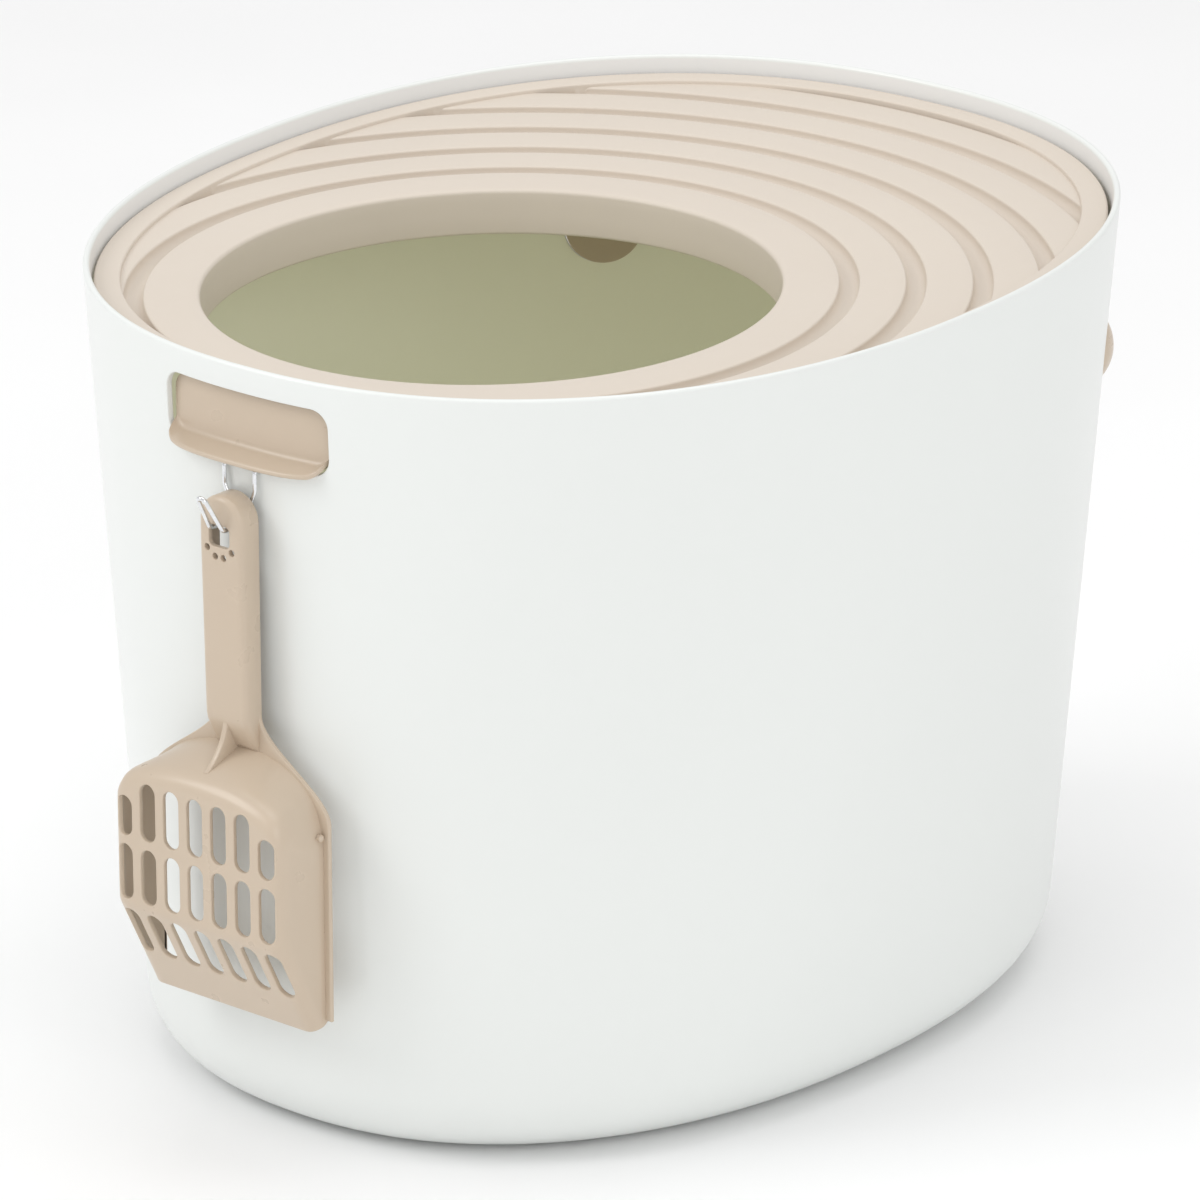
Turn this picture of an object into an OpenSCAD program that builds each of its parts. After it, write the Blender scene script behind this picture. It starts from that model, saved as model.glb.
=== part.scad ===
// Top-entry litter box: an oval tub, a grooved lid sunk into its rim,
// three latches, and a slotted scoop that hangs on a wire hook.
// Millimetres. Origin: centre of the flat base. +Z is up, -Y is the front.

/* [Tub] */
// Half width of the base, along X
base_half_width = 171; // [165:1:180]
// Half length of the base, along Y
base_half_length = 223; // [216:1:230]
// Growth of the half width from the base to the nominal height
flare_width = 34.4; // [30:0.2:38]
// Growth of the half length from the base to the nominal height
flare_length = 14; // [12:0.5:18]
// Height over which the flare is stated
nominal_height = 370; // [360:1:380]
// Height of the rim above the base, at the middle
rim_height = 359; // [355:1:365]
// Rise of the rim and the lid towards the back, per unit of length
rim_slope = 0.03; // [0.02:0.005:0.04]
// Radius of the rounded bottom edge
bottom_radius = 31; // [24:1:36]
// Thickness of the wall
wall = 3; // [2.5:0.1:3.4]
// Thickness of the floor
floor_thickness = 3.5; // [3:0.1:5]

/* [Front window] */
// Width of the window
window_width = 90; // [80:1:94]
// Height of the window's lower edge
window_bottom = 311; // [310:0.5:312]
// Height of the window
window_height = 29; // [28:0.5:30]
// Corner radius of the window
window_radius = 8; // [4:0.5:10]

/* [Lid] */
// Height of the grooved face at the middle of the lid
lid_height = 349.5; // [348:0.1:350]
// Thickness of the lid's plate
lid_plate = 3; // [2.5:0.1:3.5]
// Step from the grooved face up to the flat border
border_step = 1.8; // [1:0.1:2.5]
// Distance from the tub's outer face to the border's inner edge
border_inset = 15.5; // [14:0.5:18]
// Radius of the entry hole
hole_radius = 125; // [120:1:128]
// Distance from the middle to the centre of the hole, towards the front
hole_offset = 74.7; // [72:0.1:77]
// Depth of the collar round the hole
collar_depth = 21; // [15:1:24]
// Number of grooves
groove_count = 6; // [1:1:6]
// Outer radius of the first groove
first_groove_radius = 158.3; // [155:0.1:162]
// Distance between grooves
groove_pitch = 28.7; // [27:0.1:28.8]
// Width of a groove
groove_width = 9.2; // [6:0.1:10]
// Depth of a groove
groove_depth = 5; // [2:0.5:6]

/* [Latches] */
// Height of the snap domes' centres
dome_height = 286; // [284:1:290]
// Radius of a snap dome
dome_radius = 18; // [15:0.5:18]
// How far a dome stands out of the wall
dome_reach = 4.8; // [3:0.1:5.5]
// Direction of the rear latches, measured from the X axis
latch_angle = 42; // [38:1:46]
// How far the front ledge stands out of the wall
ledge_reach = 7.5; // [5:0.5:8]

/* [Scoop and hook] */
// Width of the scoop's bowl
bowl_width = 95; // [90:1:97]
// Depth of the scoop's bowl
bowl_depth = 30.5; // [28:0.5:33]
// Width of the handle
handle_width = 24; // [23:0.5:26]
// Diameter of the hook's wire
wire_diameter = 2; // [1.6:0.1:2.2]

/* [Hidden] */

white = [0.94, 0.94, 0.92];
beige = [0.90, 0.86, 0.80];
tan_colour = [0.80, 0.72, 0.63];
chrome = [0.78, 0.79, 0.80];

// ---- oval outline shared by the tub and the lid ----
oval_power = 0.9;       // 2 / 2.22: a little squarer than an ellipse
egg = 0.0145;           // the back is this much wider than the front
oval_steps = 96;
round_steps = 6;
rim_steps = 4;

function signed_power(v) = sign(v) * pow(abs(v), oval_power);
function half_width(z) = base_half_width + flare_width * z / nominal_height;
function half_length(z) = base_half_length + flare_length * z / nominal_height;
function oval_point(a, b, t) =
    [a * signed_power(cos(t)) * (1 + egg * signed_power(sin(t))), b * signed_power(sin(t))];
function oval(a, b) = [for (i = [0:oval_steps - 1]) oval_point(a, b, 360 * i / oval_steps)];

// Parameter at which the oval's outward normal has the direction given
function normal_parameter(a, b, direction) =
    let (q = pow(abs(tan(direction)) * b / a, 1 / (2 - oval_power)), t = atan(q))
    cos(direction) >= 0 ? (sin(direction) >= 0 ? t : -t) : (sin(direction) >= 0 ? 180 - t : t - 180);
function wall_point(z, inset, direction) =
    let (a = half_width(z) - inset, b = half_length(z) - inset)
    oval_point(a, b, normal_parameter(a, b, direction));

// ---- rings of the tub's shell ----
function level_ring(z, inset) =
    [for (p = oval(half_width(z) - inset, half_length(z) - inset)) [p.x, p.y, z]];
flare_slope = flare_length / nominal_height;
function rim_ring(drop, inset) =
    [for (i = [0:oval_steps - 1])
        let (t = 360 * i / oval_steps, s = signed_power(sin(t)),
             z = (rim_height - drop + rim_slope * (base_half_length - inset) * s)
                 / (1 - rim_slope * flare_slope * s),
             p = oval_point(half_width(z) - inset, half_length(z) - inset, t))
        [p.x, p.y, z]];
function outer_round(i) =
    let (q = 90 * i / round_steps)
    level_ring(bottom_radius * (1 - cos(q)), bottom_radius * (1 - sin(q)));
inner_radius = bottom_radius - wall;
function inner_round(i) =
    let (q = 90 * i / round_steps)
    level_ring(floor_thickness + inner_radius * (1 - cos(q)), wall + inner_radius * (1 - sin(q)));
function rim_round(i) =
    let (q = 180 * i / rim_steps, r = wall / 2)
    rim_ring(r - r * sin(q), r - r * cos(q));
shell_rings = concat(
    [for (i = [0:round_steps]) outer_round(i)],
    [for (i = [0:rim_steps]) rim_round(i)],
    [for (i = [round_steps:-1:0]) inner_round(i)]);

// ---- lid, in its own plane ----
lid_tilt = atan(rim_slope);
lid_gap = 1.2;
lid_a = half_width(lid_height) - wall - lid_gap;
lid_b = half_length(lid_height) - wall - lid_gap;
band_a = half_width(lid_height) - border_inset;
band_b = half_length(lid_height) - border_inset;
collar_wall = 3;
channel_wall = 2;
channel_depth = groove_depth + 2;

// ---- latches ----
pivot_drop = 9.2;        // from the grooved face down to the pivot line
pivot_radius = 2.5;
pin_radius = 1.5;
pin_play = 0.08;
pin_reach = 5;
lug_radius = 3;
lug_thickness = 4;
lug_gap = 0.5;
latch_thickness = 2.5;
latch_gap = 0.5;         // between the wall's inner face and the front panel
arm_gap = 1.5;           // between the wall's inner face and a rear arm
rear_pivot_inset = 5.4;  // from the wall's inner face to the pivot line
front_pivot_inset = 9.4;
front_barrel = 55;
pocket_depth = 2.6;      // relief under the lid's edge, above the front panel
pocket_length = 15;
panel_width = 87;
panel_margin = 1.5;      // between the window's edge and the panel
ledge_thickness = 2.4;
ledge_droop = 14;
arm_width = 37;
barrel_width = 38;
dome_play = 0.6;         // between a snap dome and its bore
wall_lean = 3.9;         // lean of the wall at the rear latches

function lid_face(y) = lid_height + rim_slope * y;
front_pivot_y = -(half_length(lid_face(-230)) - wall - front_pivot_inset);
front_pivot_z = lid_face(front_pivot_y) - pivot_drop;
function rear_pivot(direction) =
    let (p = wall_point(345, wall + rear_pivot_inset, direction))
    [p.x, p.y, lid_face(p.y) - pivot_drop];

// Distance from a rear pivot line out to the wall's inner face, level with the dome
function dome_offset(direction) =
    let (pivot = rear_pivot(direction), inner = wall_point(dome_height, wall, direction))
    (inner.x - pivot.x) * cos(direction) + (inner.y - pivot.y) * sin(direction);

// ---- rests for the lid ----
rest_directions = [-50, -130, 0, 180, 72, 108];
rest_width = 16;
rest_reach = 5;
rest_drop = 12;

// ---- hook ----
hook_half = 8.5;
hook_height = 308;
hook_bore = 1.7;
prong_half = 3.6;
tip_half = 2.1;
wire_sides = 10;

// ---- scoop, in an upright frame in front of the wall ----
scoop_plane = 238;       // from the middle of the box to the scoop's back plane
skin = 2.2;
face_top = 168;
face_bottom = 111;
tip_height = 66.5;
tip_depth = 8;
bowl_top = 186;
edge_radius = 10;
handle_top = 298;
handle_skin = 2;
handle_front = 12;       // depth of the handle's front face, from the back plane
handle_waist = 10.5;     // depth where the handle meets the neck
handle_foot = 186;
pad_width = 11.5;
pad_height = 9.6;
pad_radius = 2.5;
pad_top = 285.2;
toe_radius = 1.5;
slot_pitch = 13.4;
slot_width = 8.6;
lip = 3;
tip_rise = 4.5;          // the side walls end this far above the tip
shoulder = 152;          // height at which the bowl starts to round off
shoulder_power = 0.91;

module tub() {
    color(white)
    union() {
        difference() {
            shell();
            window_cut();
            for (side = [-1, 1]) dome_bore(90 + side * (90 - latch_angle));
            for (side = [-1, 1])
                translate([side * hook_half, -base_half_length, hook_height])
                    rotate([90, 0, 0]) cylinder(h = 30, r = hook_bore, $fn = 32);
        }
        for (direction = rest_directions) lid_rest(direction);
    }
}

module shell() {
    count = len(shell_rings);
    points = [for (ring = shell_rings) each ring];
    sides = [for (k = [0:count - 2]) for (i = [0:oval_steps - 1])
        let (j = (i + 1) % oval_steps, low = k * oval_steps, high = low + oval_steps)
        each [[low + i, high + i, high + j], [low + i, high + j, low + j]]];
    under = [for (i = [0:oval_steps - 1]) i];
    inside = [for (i = [oval_steps - 1:-1:0]) (count - 1) * oval_steps + i];
    polyhedron(points = points, faces = concat([under], sides, [inside]), convexity = 6);
}

function rounded_corner(x, y, r, start) =
    [for (i = [0:6]) [x + r * cos(start + 15 * i), y + r * sin(start + 15 * i)]];
function rounded_box(w, h, r) = concat(
    rounded_corner(w / 2 - r, h / 2 - r, r, 0),
    rounded_corner(r - w / 2, h / 2 - r, r, 90),
    rounded_corner(r - w / 2, r - h / 2, r, 180),
    rounded_corner(w / 2 - r, r - h / 2, r, 270));

module window_cut() {
    translate([0, -base_half_length + 20, window_bottom + window_height / 2])
        rotate([90, 0, 0])
            linear_extrude(height = 60)
                polygon(rounded_box(window_width, window_height, window_radius));
}

// Level bore for a snap dome, along the wall's outward direction
module dome_bore(direction) {
    pivot = rear_pivot(direction);
    translate([pivot.x, pivot.y, dome_height]) rotate([0, 90, direction])
        translate([0, 0, dome_offset(direction) - 12])
            cylinder(h = 30, r = dome_radius + dome_play, $fn = 64);
}

// Small bracket under the lid's edge, with a flat top and a sloping underside
module lid_rest(direction) {
    p = wall_point(345, wall, direction);
    top = lid_face(p.y - rest_width / 2) - lid_plate - 0.4;
    q = wall_point(top, wall, direction);
    translate([q.x, q.y, top]) rotate([90, 0, direction])
        translate([0, 0, -rest_width / 2])
            linear_extrude(height = rest_width)
                polygon([[1, 0], [-rest_reach, 0], [-rest_reach, -2], [0, -rest_drop]]);
}

module lid() {
    color(beige)
    translate([0, 0, lid_height]) rotate([lid_tilt, 0, 0])
    union() {
        difference() {
            union() {
                translate([0, 0, -lid_plate])
                    linear_extrude(height = lid_plate) polygon(oval(lid_a, lid_b));
                linear_extrude(height = border_step)
                    difference() {
                        polygon(oval(lid_a, lid_b));
                        polygon(oval(band_a, band_b));
                    }
                intersection() {
                    union() {
                        for (k = [0:groove_count - 1]) groove_channel(k);
                    }
                    translate([0, 0, -channel_depth])
                        linear_extrude(height = channel_depth)
                            polygon(oval(band_a + channel_wall, band_b + channel_wall));
                }
            }
            intersection() {
                union() {
                    for (k = [0:groove_count - 1]) groove(k);
                }
                translate([0, 0, -groove_depth])
                    linear_extrude(height = groove_depth + 1) polygon(oval(band_a, band_b));
            }
            translate([0, -hole_offset, -50])
                cylinder(h = 100, r = hole_radius, $fn = 180);
            translate([-panel_width / 2 - 2, -lid_b - 1, -lid_plate - 10])
                cube([panel_width + 4, pocket_length, pocket_depth + 10]);
        }
        collar();
        latch_lugs();
    }
}

module ring(outer, inner, low, high) {
    translate([0, -hole_offset, low])
    difference() {
        cylinder(h = high - low, r = outer, $fn = 180);
        translate([0, 0, -1]) cylinder(h = high - low + 2, r = inner, $fn = 180);
    }
}

module groove(k) {
    r = first_groove_radius + k * groove_pitch;
    ring(r, r - groove_width, -groove_depth, 1);
}

module groove_channel(k) {
    r = first_groove_radius + k * groove_pitch;
    ring(r + channel_wall, r - groove_width - channel_wall, -channel_depth, 0);
}

module collar() {
    ring(hole_radius + collar_wall, hole_radius, -collar_depth, 0);
}

// Hinge lugs under the lid; the lid's tilt is taken out so that they stand upright
module latch_lugs() {
    rotate([-lid_tilt, 0, 0]) translate([0, 0, -lid_height]) {
        lug_pair([0, front_pivot_y, front_pivot_z], -90, front_barrel);
        for (side = [-1, 1]) {
            direction = 90 + side * (90 - latch_angle);
            lug_pair(rear_pivot(direction), direction, barrel_width);
        }
    }
}

module lug_pair(pivot, direction, width) {
    translate(pivot) rotate([0, 0, direction])
        for (side = [-1, 1])
            translate([0, side * (width / 2 + lug_gap + lug_thickness / 2), 0])
                lug();
}

module lug() {
    rotate([90, 0, 0]) translate([0, 0, -lug_thickness / 2])
    difference() {
        union() {
            cylinder(h = lug_thickness, r = lug_radius, $fn = 40);
            translate([-lug_radius, 0, 0])
                cube([2 * lug_radius, pivot_drop - 0.4, lug_thickness]);
        }
        translate([0, 0, -1])
            cylinder(h = lug_thickness + 2, r = pin_radius + pin_play, $fn = 40);
    }
}

// Barrel with a stub pin at each end, along the local Y axis
module pivot_barrel(width) {
    rotate([90, 0, 0]) {
        translate([0, 0, -width / 2]) cylinder(h = width, r = pivot_radius, $fn = 40);
        translate([0, 0, -width / 2 - pin_reach])
            cylinder(h = width + 2 * pin_reach, r = pin_radius, $fn = 40);
    }
}

// Strip along the inside of the front wall, between two heights
function front_line(z, inset, half, steps) =
    let (a = half_width(z) - inset, b = half_length(z) - inset)
    [for (i = [0:steps])
        let (x = half * (2 * i / steps - 1))
        [x, -b * pow(1 - pow(abs(x) / a, 2 / oval_power), oval_power / 2)]];
function reversed(list) = [for (i = [len(list) - 1:-1:0]) list[i]];

module front_latch() {
    panel_bottom = window_bottom + panel_margin;
    panel_height = window_height - 2 * panel_margin;
    color(tan_colour)
    union() {
        intersection() {
            translate([0, 0, panel_bottom])
                linear_extrude(height = panel_height)
                    polygon(concat(
                        front_line(window_bottom, wall + latch_gap, panel_width / 2, 24),
                        reversed(front_line(window_bottom, wall + latch_gap + latch_thickness,
                                            panel_width / 2, 24))));
            translate([0, -base_half_length + 20, panel_bottom + panel_height / 2])
                rotate([90, 0, 0])
                    linear_extrude(height = 60)
                        polygon(rounded_box(panel_width, panel_height, window_radius - panel_margin));
        }
        front_ledge(panel_bottom);
        translate([0, front_pivot_y, front_pivot_z]) rotate([0, 0, -90])
            pivot_barrel(front_barrel);
        front_web();
    }
}

// Crescent ledge at the foot of the panel, drooping outwards
module front_ledge(bottom) {
    root = wall + latch_gap + 0.6;
    reach = root + ledge_reach;
    half = panel_width / 2 - 0.6;
    back = front_line(window_bottom, root, half, 24);
    edge = [for (p = back) [p.x, p.y - reach * sqrt(1 - pow(abs(p.x) / (half + 0.01), 5))]];
    hinge_y = back[12].y;
    translate([0, hinge_y, bottom + ledge_thickness]) rotate([ledge_droop, 0, 0])
        translate([0, -hinge_y, -ledge_thickness])
            linear_extrude(height = ledge_thickness)
                polygon(concat(edge, reversed(back)));
}

// Web that joins the panel to its pivot barrel
module front_web() {
    low = front_pivot_z - 7;
    half = front_barrel / 2;
    panel_face = front_line(window_bottom, wall + latch_gap + 0.5, half, 16);
    translate([0, 0, low])
        linear_extrude(height = front_pivot_z - low)
            polygon(concat(panel_face, [[half, front_pivot_y + 1.5], [-half, front_pivot_y + 1.5]]));
}

// Rear latch in its own frame: pivot line along Y, outward along +X, arm hanging down
module rear_latch(direction) {
    pivot = rear_pivot(direction);
    drop = pivot.z - dome_height;
    out = dome_offset(direction);
    half_arm = arm_width / 2;
    foot = [for (i = [0:24]) half_arm * [sin(90 + 7.5 * i), cos(90 + 7.5 * i)]];
    color(tan_colour)
    translate(pivot) rotate([0, 0, direction])
    union() {
        pivot_barrel(barrel_width);
        translate([-1, 2 - half_arm, -8]) cube([5, arm_width - 4, 8]);
        translate([out, 0, -drop]) rotate([0, wall_lean, 0]) {
            translate([-arm_gap, 0, 0]) rotate([90, 0, -90])
                linear_extrude(height = latch_thickness)
                    polygon(concat([[-half_arm, drop + 0.5], [half_arm, drop + 0.5]], foot));
            snap_dome(wall + dome_reach);
        }
    }
}

// Low spherical cap standing out of the arm, with a small flat at its crown
module snap_dome(height) {
    base = -arm_gap - 0.5;
    rise = height - base;
    sphere_radius = (dome_radius * dome_radius + rise * rise) / (2 * rise);
    steps = 10;
    spread = asin(dome_radius / sphere_radius);
    crown = 3;
    arc = [for (i = [0:steps])
        let (q = crown + (spread - crown) * (1 - i / steps))
        [sphere_radius * sin(q), sphere_radius * (cos(q) - 1) + rise]];
    translate([base, 0, 0]) rotate([0, 90, 0])
        rotate_extrude($fn = 64) polygon(concat([[0, 0]], arc, [[0, arc[steps].y]]));
}

module left_latch() rear_latch(180 - latch_angle);

module right_latch() rear_latch(latch_angle);

// ---- wire hook ----
function front_wall(z) = -half_length(z);
wire_out_y = front_wall(hook_height) - 1.7;
tail_y = front_wall(hook_height) + wall + 3.8;
bend = 2;
saddle_radius = 3;
rise_angle = 60;
run_z = pad_top - 1.4;
run_end_y = -scoop_plane - handle_front + 0.66;
prong_start = [run_end_y - saddle_radius * sin(rise_angle),
               run_z + saddle_radius * (1 - cos(rise_angle))];
prong_length = 15;
prong_end = prong_start + prong_length * [-cos(rise_angle), sin(rise_angle)];
function quarter(y, z, r, from, to, steps, x) =
    [for (i = [0:steps]) let (q = from + (to - from) * i / steps) [x, y + r * cos(q), z + r * sin(q)]];
half_wire = concat(
    [[hook_half, tail_y, hook_height - 9]],
    quarter(tail_y - bend, hook_height - bend, bend, 0, 90, 4, hook_half),
    quarter(wire_out_y + bend, hook_height - bend, bend, 90, 180, 4, hook_half),
    [[hook_half, wire_out_y, 300], [hook_half - 0.6, wire_out_y, 297],
     [prong_half + 0.6, wire_out_y, 289]],
    quarter(wire_out_y - bend, run_z + bend, bend, 0, -90, 4, prong_half),
    quarter(run_end_y, run_z + saddle_radius, saddle_radius, -90, -90 - rise_angle, 6, prong_half),
    [[tip_half, prong_end[0], prong_end[1]]]);
tip = [for (i = [1:5])
    let (q = 30 * i, out = tip_half * sin(q))
    [tip_half * cos(q), prong_end[0] - out * cos(rise_angle), prong_end[1] + out * sin(rise_angle)]];
wire_path = concat(half_wire, tip, [for (p = reversed(half_wire)) [-p.x, p.y, p.z]]);

function unit(v) = v / norm(v);
function wire_ring(path, i) =
    let (last = len(path) - 1,
         along = unit(path[min(i + 1, last)] - path[max(i - 1, 0)]),
         side = unit(cross(along, [0.6, 0.5, -0.62])),
         up = cross(side, along),
         r = wire_diameter / 2)
    [for (k = [0:wire_sides - 1])
        let (q = 360 * k / wire_sides) path[i] + r * (cos(q) * side + sin(q) * up)];

module scoop_hook() {
    rings = len(wire_path);
    points = [for (i = [0:rings - 1]) each wire_ring(wire_path, i)];
    sides = [for (k = [0:rings - 2]) for (i = [0:wire_sides - 1])
        let (j = (i + 1) % wire_sides, low = k * wire_sides, high = low + wire_sides)
        each [[low + i, low + j, high + j], [low + i, high + j, high + i]]];
    start = [for (i = [wire_sides - 1:-1:0]) i];
    end = [for (i = [0:wire_sides - 1]) (rings - 1) * wire_sides + i];
    color(chrome)
    polyhedron(points = points, faces = concat([start], sides, [end]), convexity = 6);
}

// ---- scoop ----
// Local frame: X across, Y away from the wall, Z up; the rim lies at Y = 0
module scoop_frame() {
    translate([0, -scoop_plane, 0]) mirror([0, 1, 0]) children();
}

slant = atan((face_bottom - tip_height) / (bowl_depth - tip_depth));
// Side profile of the bowl, set in by a thickness, as [depth, height] points
function bowl_profile(t) = concat(
    [[tip_depth - t * sin(slant), tip_height + t * cos(slant)],
     [bowl_depth - t, face_bottom + t * tan((90 - slant) / 2)]],
    [for (i = [0:6]) [bowl_depth - t - (edge_radius - t) * (1 - cos(15 * i)),
                      face_top + (edge_radius - t) * sin(15 * i)]],
    [[0, bowl_top - t * 1.05]]);

// Extrudes a side profile, given as [depth, height] points, across the scoop
module across(width) {
    rotate([90, 0, 90]) translate([0, 0, -width / 2]) linear_extrude(height = width) children();
}

module slot(length) {
    reach = slot_width / 2;
    translate([0, 0, reach]) rotate([-90, 0, 0]) cylinder(h = 20, r = reach, $fn = 32);
    translate([0, 0, length - reach]) rotate([-90, 0, 0]) cylinder(h = 20, r = reach, $fn = 32);
    translate([-reach, 0, reach]) cube([slot_width, 20, length - slot_width]);
}

module bowl_slots() {
    for (column = [-3:3]) {
        edge_column = abs(column) == 3;
        translate([column * slot_pitch, bowl_depth - 10, 142]) slot(edge_column ? 18 : 26);
        translate([column * slot_pitch, bowl_depth - 10, 113]) slot(25);
        translate([column * slot_pitch, tip_depth, tip_height]) rotate([slant - 90, 0, 0])
            translate([0, -10, 20]) slot(26);
    }
}

// Half width of the neck that spreads from the handle to the bowl's rim
function neck_half(z) =
    let (s = min(1, max(0, (200 - z) / 40)), w = s * s * (3 - 2 * s))
    handle_width / 2 + (bowl_width / 2 + lip - handle_width / 2) * w;

// Bowl seen from the front, with rounded shoulders, set in by a thickness
module bowl_outline(t) {
    half = bowl_width / 2 - t;
    rise = bowl_top - t - shoulder;
    arch = [for (i = [0:20]) let (q = 9 * i, c = cos(q))
        [half * sign(c) * pow(abs(c), shoulder_power), shoulder + rise * pow(sin(q), shoulder_power)]];
    translate([0, 40, 0]) rotate([90, 0, 0]) linear_extrude(height = 45)
        polygon(concat([[half, tip_height - 20]], arch, [[-half, tip_height - 20]]));
}

module neck() {
    levels = [for (i = [0:12]) 202 - (202 - 158) * i / 12];
    outline = concat([for (z = levels) [neck_half(z), z]],
                     [for (z = reversed(levels)) [-neck_half(z), z]]);
    difference() {
        rotate([90, 0, 0]) translate([0, 0, -skin]) linear_extrude(height = skin) polygon(outline);
        bowl_outline(skin);
    }
}

// Outline of the handle seen from the front, round at the top
module handle_outline(inset) {
    reach = handle_width / 2 - inset;
    top_z = handle_top - handle_width / 2;
    translate([0, 0, top_z]) rotate([-90, 0, 0]) cylinder(h = 20, r = reach, $fn = 64);
    translate([-reach, 0, handle_foot - 3 + inset]) cube([2 * reach, 20, top_z - handle_foot + 3 - inset]);
}

// Handle: a channel that is open towards the wall
module handle() {
    difference() {
        intersection() {
            handle_outline(0);
            across(handle_width)
                polygon([[0, handle_foot - 3], [3.5, handle_foot - 3], [handle_waist, 199],
                         [handle_front, 276], [handle_front, handle_top], [0, handle_top]]);
        }
        intersection() {
            translate([0, -1, 0]) handle_outline(handle_skin);
            across(handle_width)
                polygon([[-1, 192], [handle_waist - 4, 202], [handle_waist - handle_skin, 206],
                         [handle_front - handle_skin, 276], [handle_front - handle_skin, handle_top],
                         [-1, handle_top]]);
        }
        translate([0, 20, pad_top - pad_height / 2]) rotate([90, 0, 0])
            linear_extrude(height = 20) polygon(rounded_box(pad_width, pad_height, pad_radius));
        for (side = [-1, 1]) {
            toe_hole(side * 6.8, 274.4);
            toe_hole(side * 2.3, 271.2);
        }
    }
}

module toe_hole(x, z) {
    translate([x, 0, z]) rotate([-90, 0, 0]) cylinder(h = 20, r = toe_radius, $fn = 24);
}

module gusset() {
    across(2.4)
        polygon([[1, bowl_top - 1], [3, 198], [handle_waist - 1, 200], [handle_waist + 1, 194],
                 [15, 184], [21, 177.5], [18, 176.5], [skin, 183]]);
}

module scoop() {
    color(tan_colour)
    scoop_frame() {
        difference() {
            intersection() {
                bowl_outline(0);
                across(bowl_width)
                    polygon(concat([[0, tip_height + tip_rise]], bowl_profile(0)));
            }
            intersection() {
                bowl_outline(skin);
                across(bowl_width)
                    polygon(concat([[-5, tip_height - 5], [tip_depth - skin - 3, tip_height - 5]],
                                   bowl_profile(skin), [[-5, bowl_top - skin * 1.05]]));
            }
            bowl_slots();
        }
        for (side = [-1, 1])
            translate([side * (bowl_width / 2 + lip / 2 - 0.1) - lip / 2 - 0.1, 0, tip_height + tip_rise])
                cube([lip + 0.2, skin, 160 - tip_height - tip_rise]);
        for (side = [-1, 1])
            translate([side * (bowl_width / 2 - 0.5), 4.5, 155]) rotate([0, side * 90, 0])
                cylinder(h = 2, r = 1.6, $fn = 24);
        neck();
        handle();
        gusset();
    }
}

tub();
lid();
front_latch();
left_latch();
right_latch();
scoop_hook();
scoop();
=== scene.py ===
import math
from math import cos, pi, radians, sin

import bpy
import bmesh
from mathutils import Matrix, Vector
from mathutils.geometry import delaunay_2d_cdt


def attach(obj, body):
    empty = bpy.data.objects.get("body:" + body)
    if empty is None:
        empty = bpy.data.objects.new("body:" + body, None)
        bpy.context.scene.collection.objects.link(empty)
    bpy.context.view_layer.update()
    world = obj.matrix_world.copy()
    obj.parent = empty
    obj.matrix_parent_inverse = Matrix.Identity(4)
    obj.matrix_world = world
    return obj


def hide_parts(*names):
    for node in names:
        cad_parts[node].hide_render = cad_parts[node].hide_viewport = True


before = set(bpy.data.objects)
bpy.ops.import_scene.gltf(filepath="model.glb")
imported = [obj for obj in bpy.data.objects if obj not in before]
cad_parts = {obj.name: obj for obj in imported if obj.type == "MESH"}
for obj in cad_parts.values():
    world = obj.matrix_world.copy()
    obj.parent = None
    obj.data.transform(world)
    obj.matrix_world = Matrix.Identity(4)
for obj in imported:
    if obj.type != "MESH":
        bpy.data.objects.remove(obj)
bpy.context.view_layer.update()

# Lengths are in millimetres and become metres in add_piece().
MM = 0.001
UP = Vector((0, 0, 1))

# ---- driving dimensions of the box ----
BASE_HALF_WIDTH = 171.0
BASE_HALF_LENGTH = 223.0
FLARE_WIDTH = 34.4 / 370
FLARE_LENGTH = 14.0 / 370
RIM_HEIGHT = 359.0
SLOPE = 0.03
BOTTOM_RADIUS = 31.0
WALL = 3.0
FLOOR = 3.5
OVAL_POWER = 0.9
EGG = 0.0145

WINDOW_WIDTH, WINDOW_HEIGHT, WINDOW_BOTTOM, WINDOW_RADIUS = 90.0, 29.0, 311.0, 8.0

LID_HEIGHT = 349.5
LID_PLATE = 3.0
BORDER_STEP = 1.8
BORDER_INSET = 15.5
HOLE_RADIUS = 125.0
HOLE_OFFSET = 74.7
HOLE_ROUND = 1.8         # radius of the hole's upper edge
COLLAR_DEPTH = 21.0
COLLAR_WALL = 3.0
GROOVE_COUNT = 6
GROOVE_RADIUS = 158.3
GROOVE_PITCH = 28.7
GROOVE_WIDTH = 9.2
GROOVE_DEPTH = 5.0
GROOVES = [GROOVE_RADIUS + k * GROOVE_PITCH - GROOVE_WIDTH / 2 for k in range(GROOVE_COUNT)]

DOME_HEIGHT = 286.0
DOME_RADIUS = 18.0
DOME_REACH = 4.8
DOME_PLAY = 0.6
LATCH_ANGLE = radians(42)
PIVOT_DROP = 9.2
PIVOT_RADIUS = 2.5
PIN_RADIUS = 1.5
WALL_LEAN = radians(3.9)
REAR_PIVOT_INSET = 5.4
FRONT_PIVOT_INSET = 9.4
BARREL_WIDTH = 38.0
FRONT_BARREL = 55.0
ARM_GAP = 1.5
ARM_THICKNESS = 2.5
ARM_HALF = 18.5
PANEL_WIDTH = 87.0
PANEL_MARGIN = 1.5
LEDGE_REACH = 7.5
LEDGE_THICKNESS = 2.4
LEDGE_DROOP = radians(14)
PANEL_GAP = 0.5          # between the wall's inner face and the front panel
SEAT_LEVEL = 345.0       # height at which the lid's edge meets the wall
LID_EDGE = 4.2           # from the tub's outer face to the lid's edge
LUG_RADIUS = 3.0
LUG_BORE = 1.62

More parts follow.
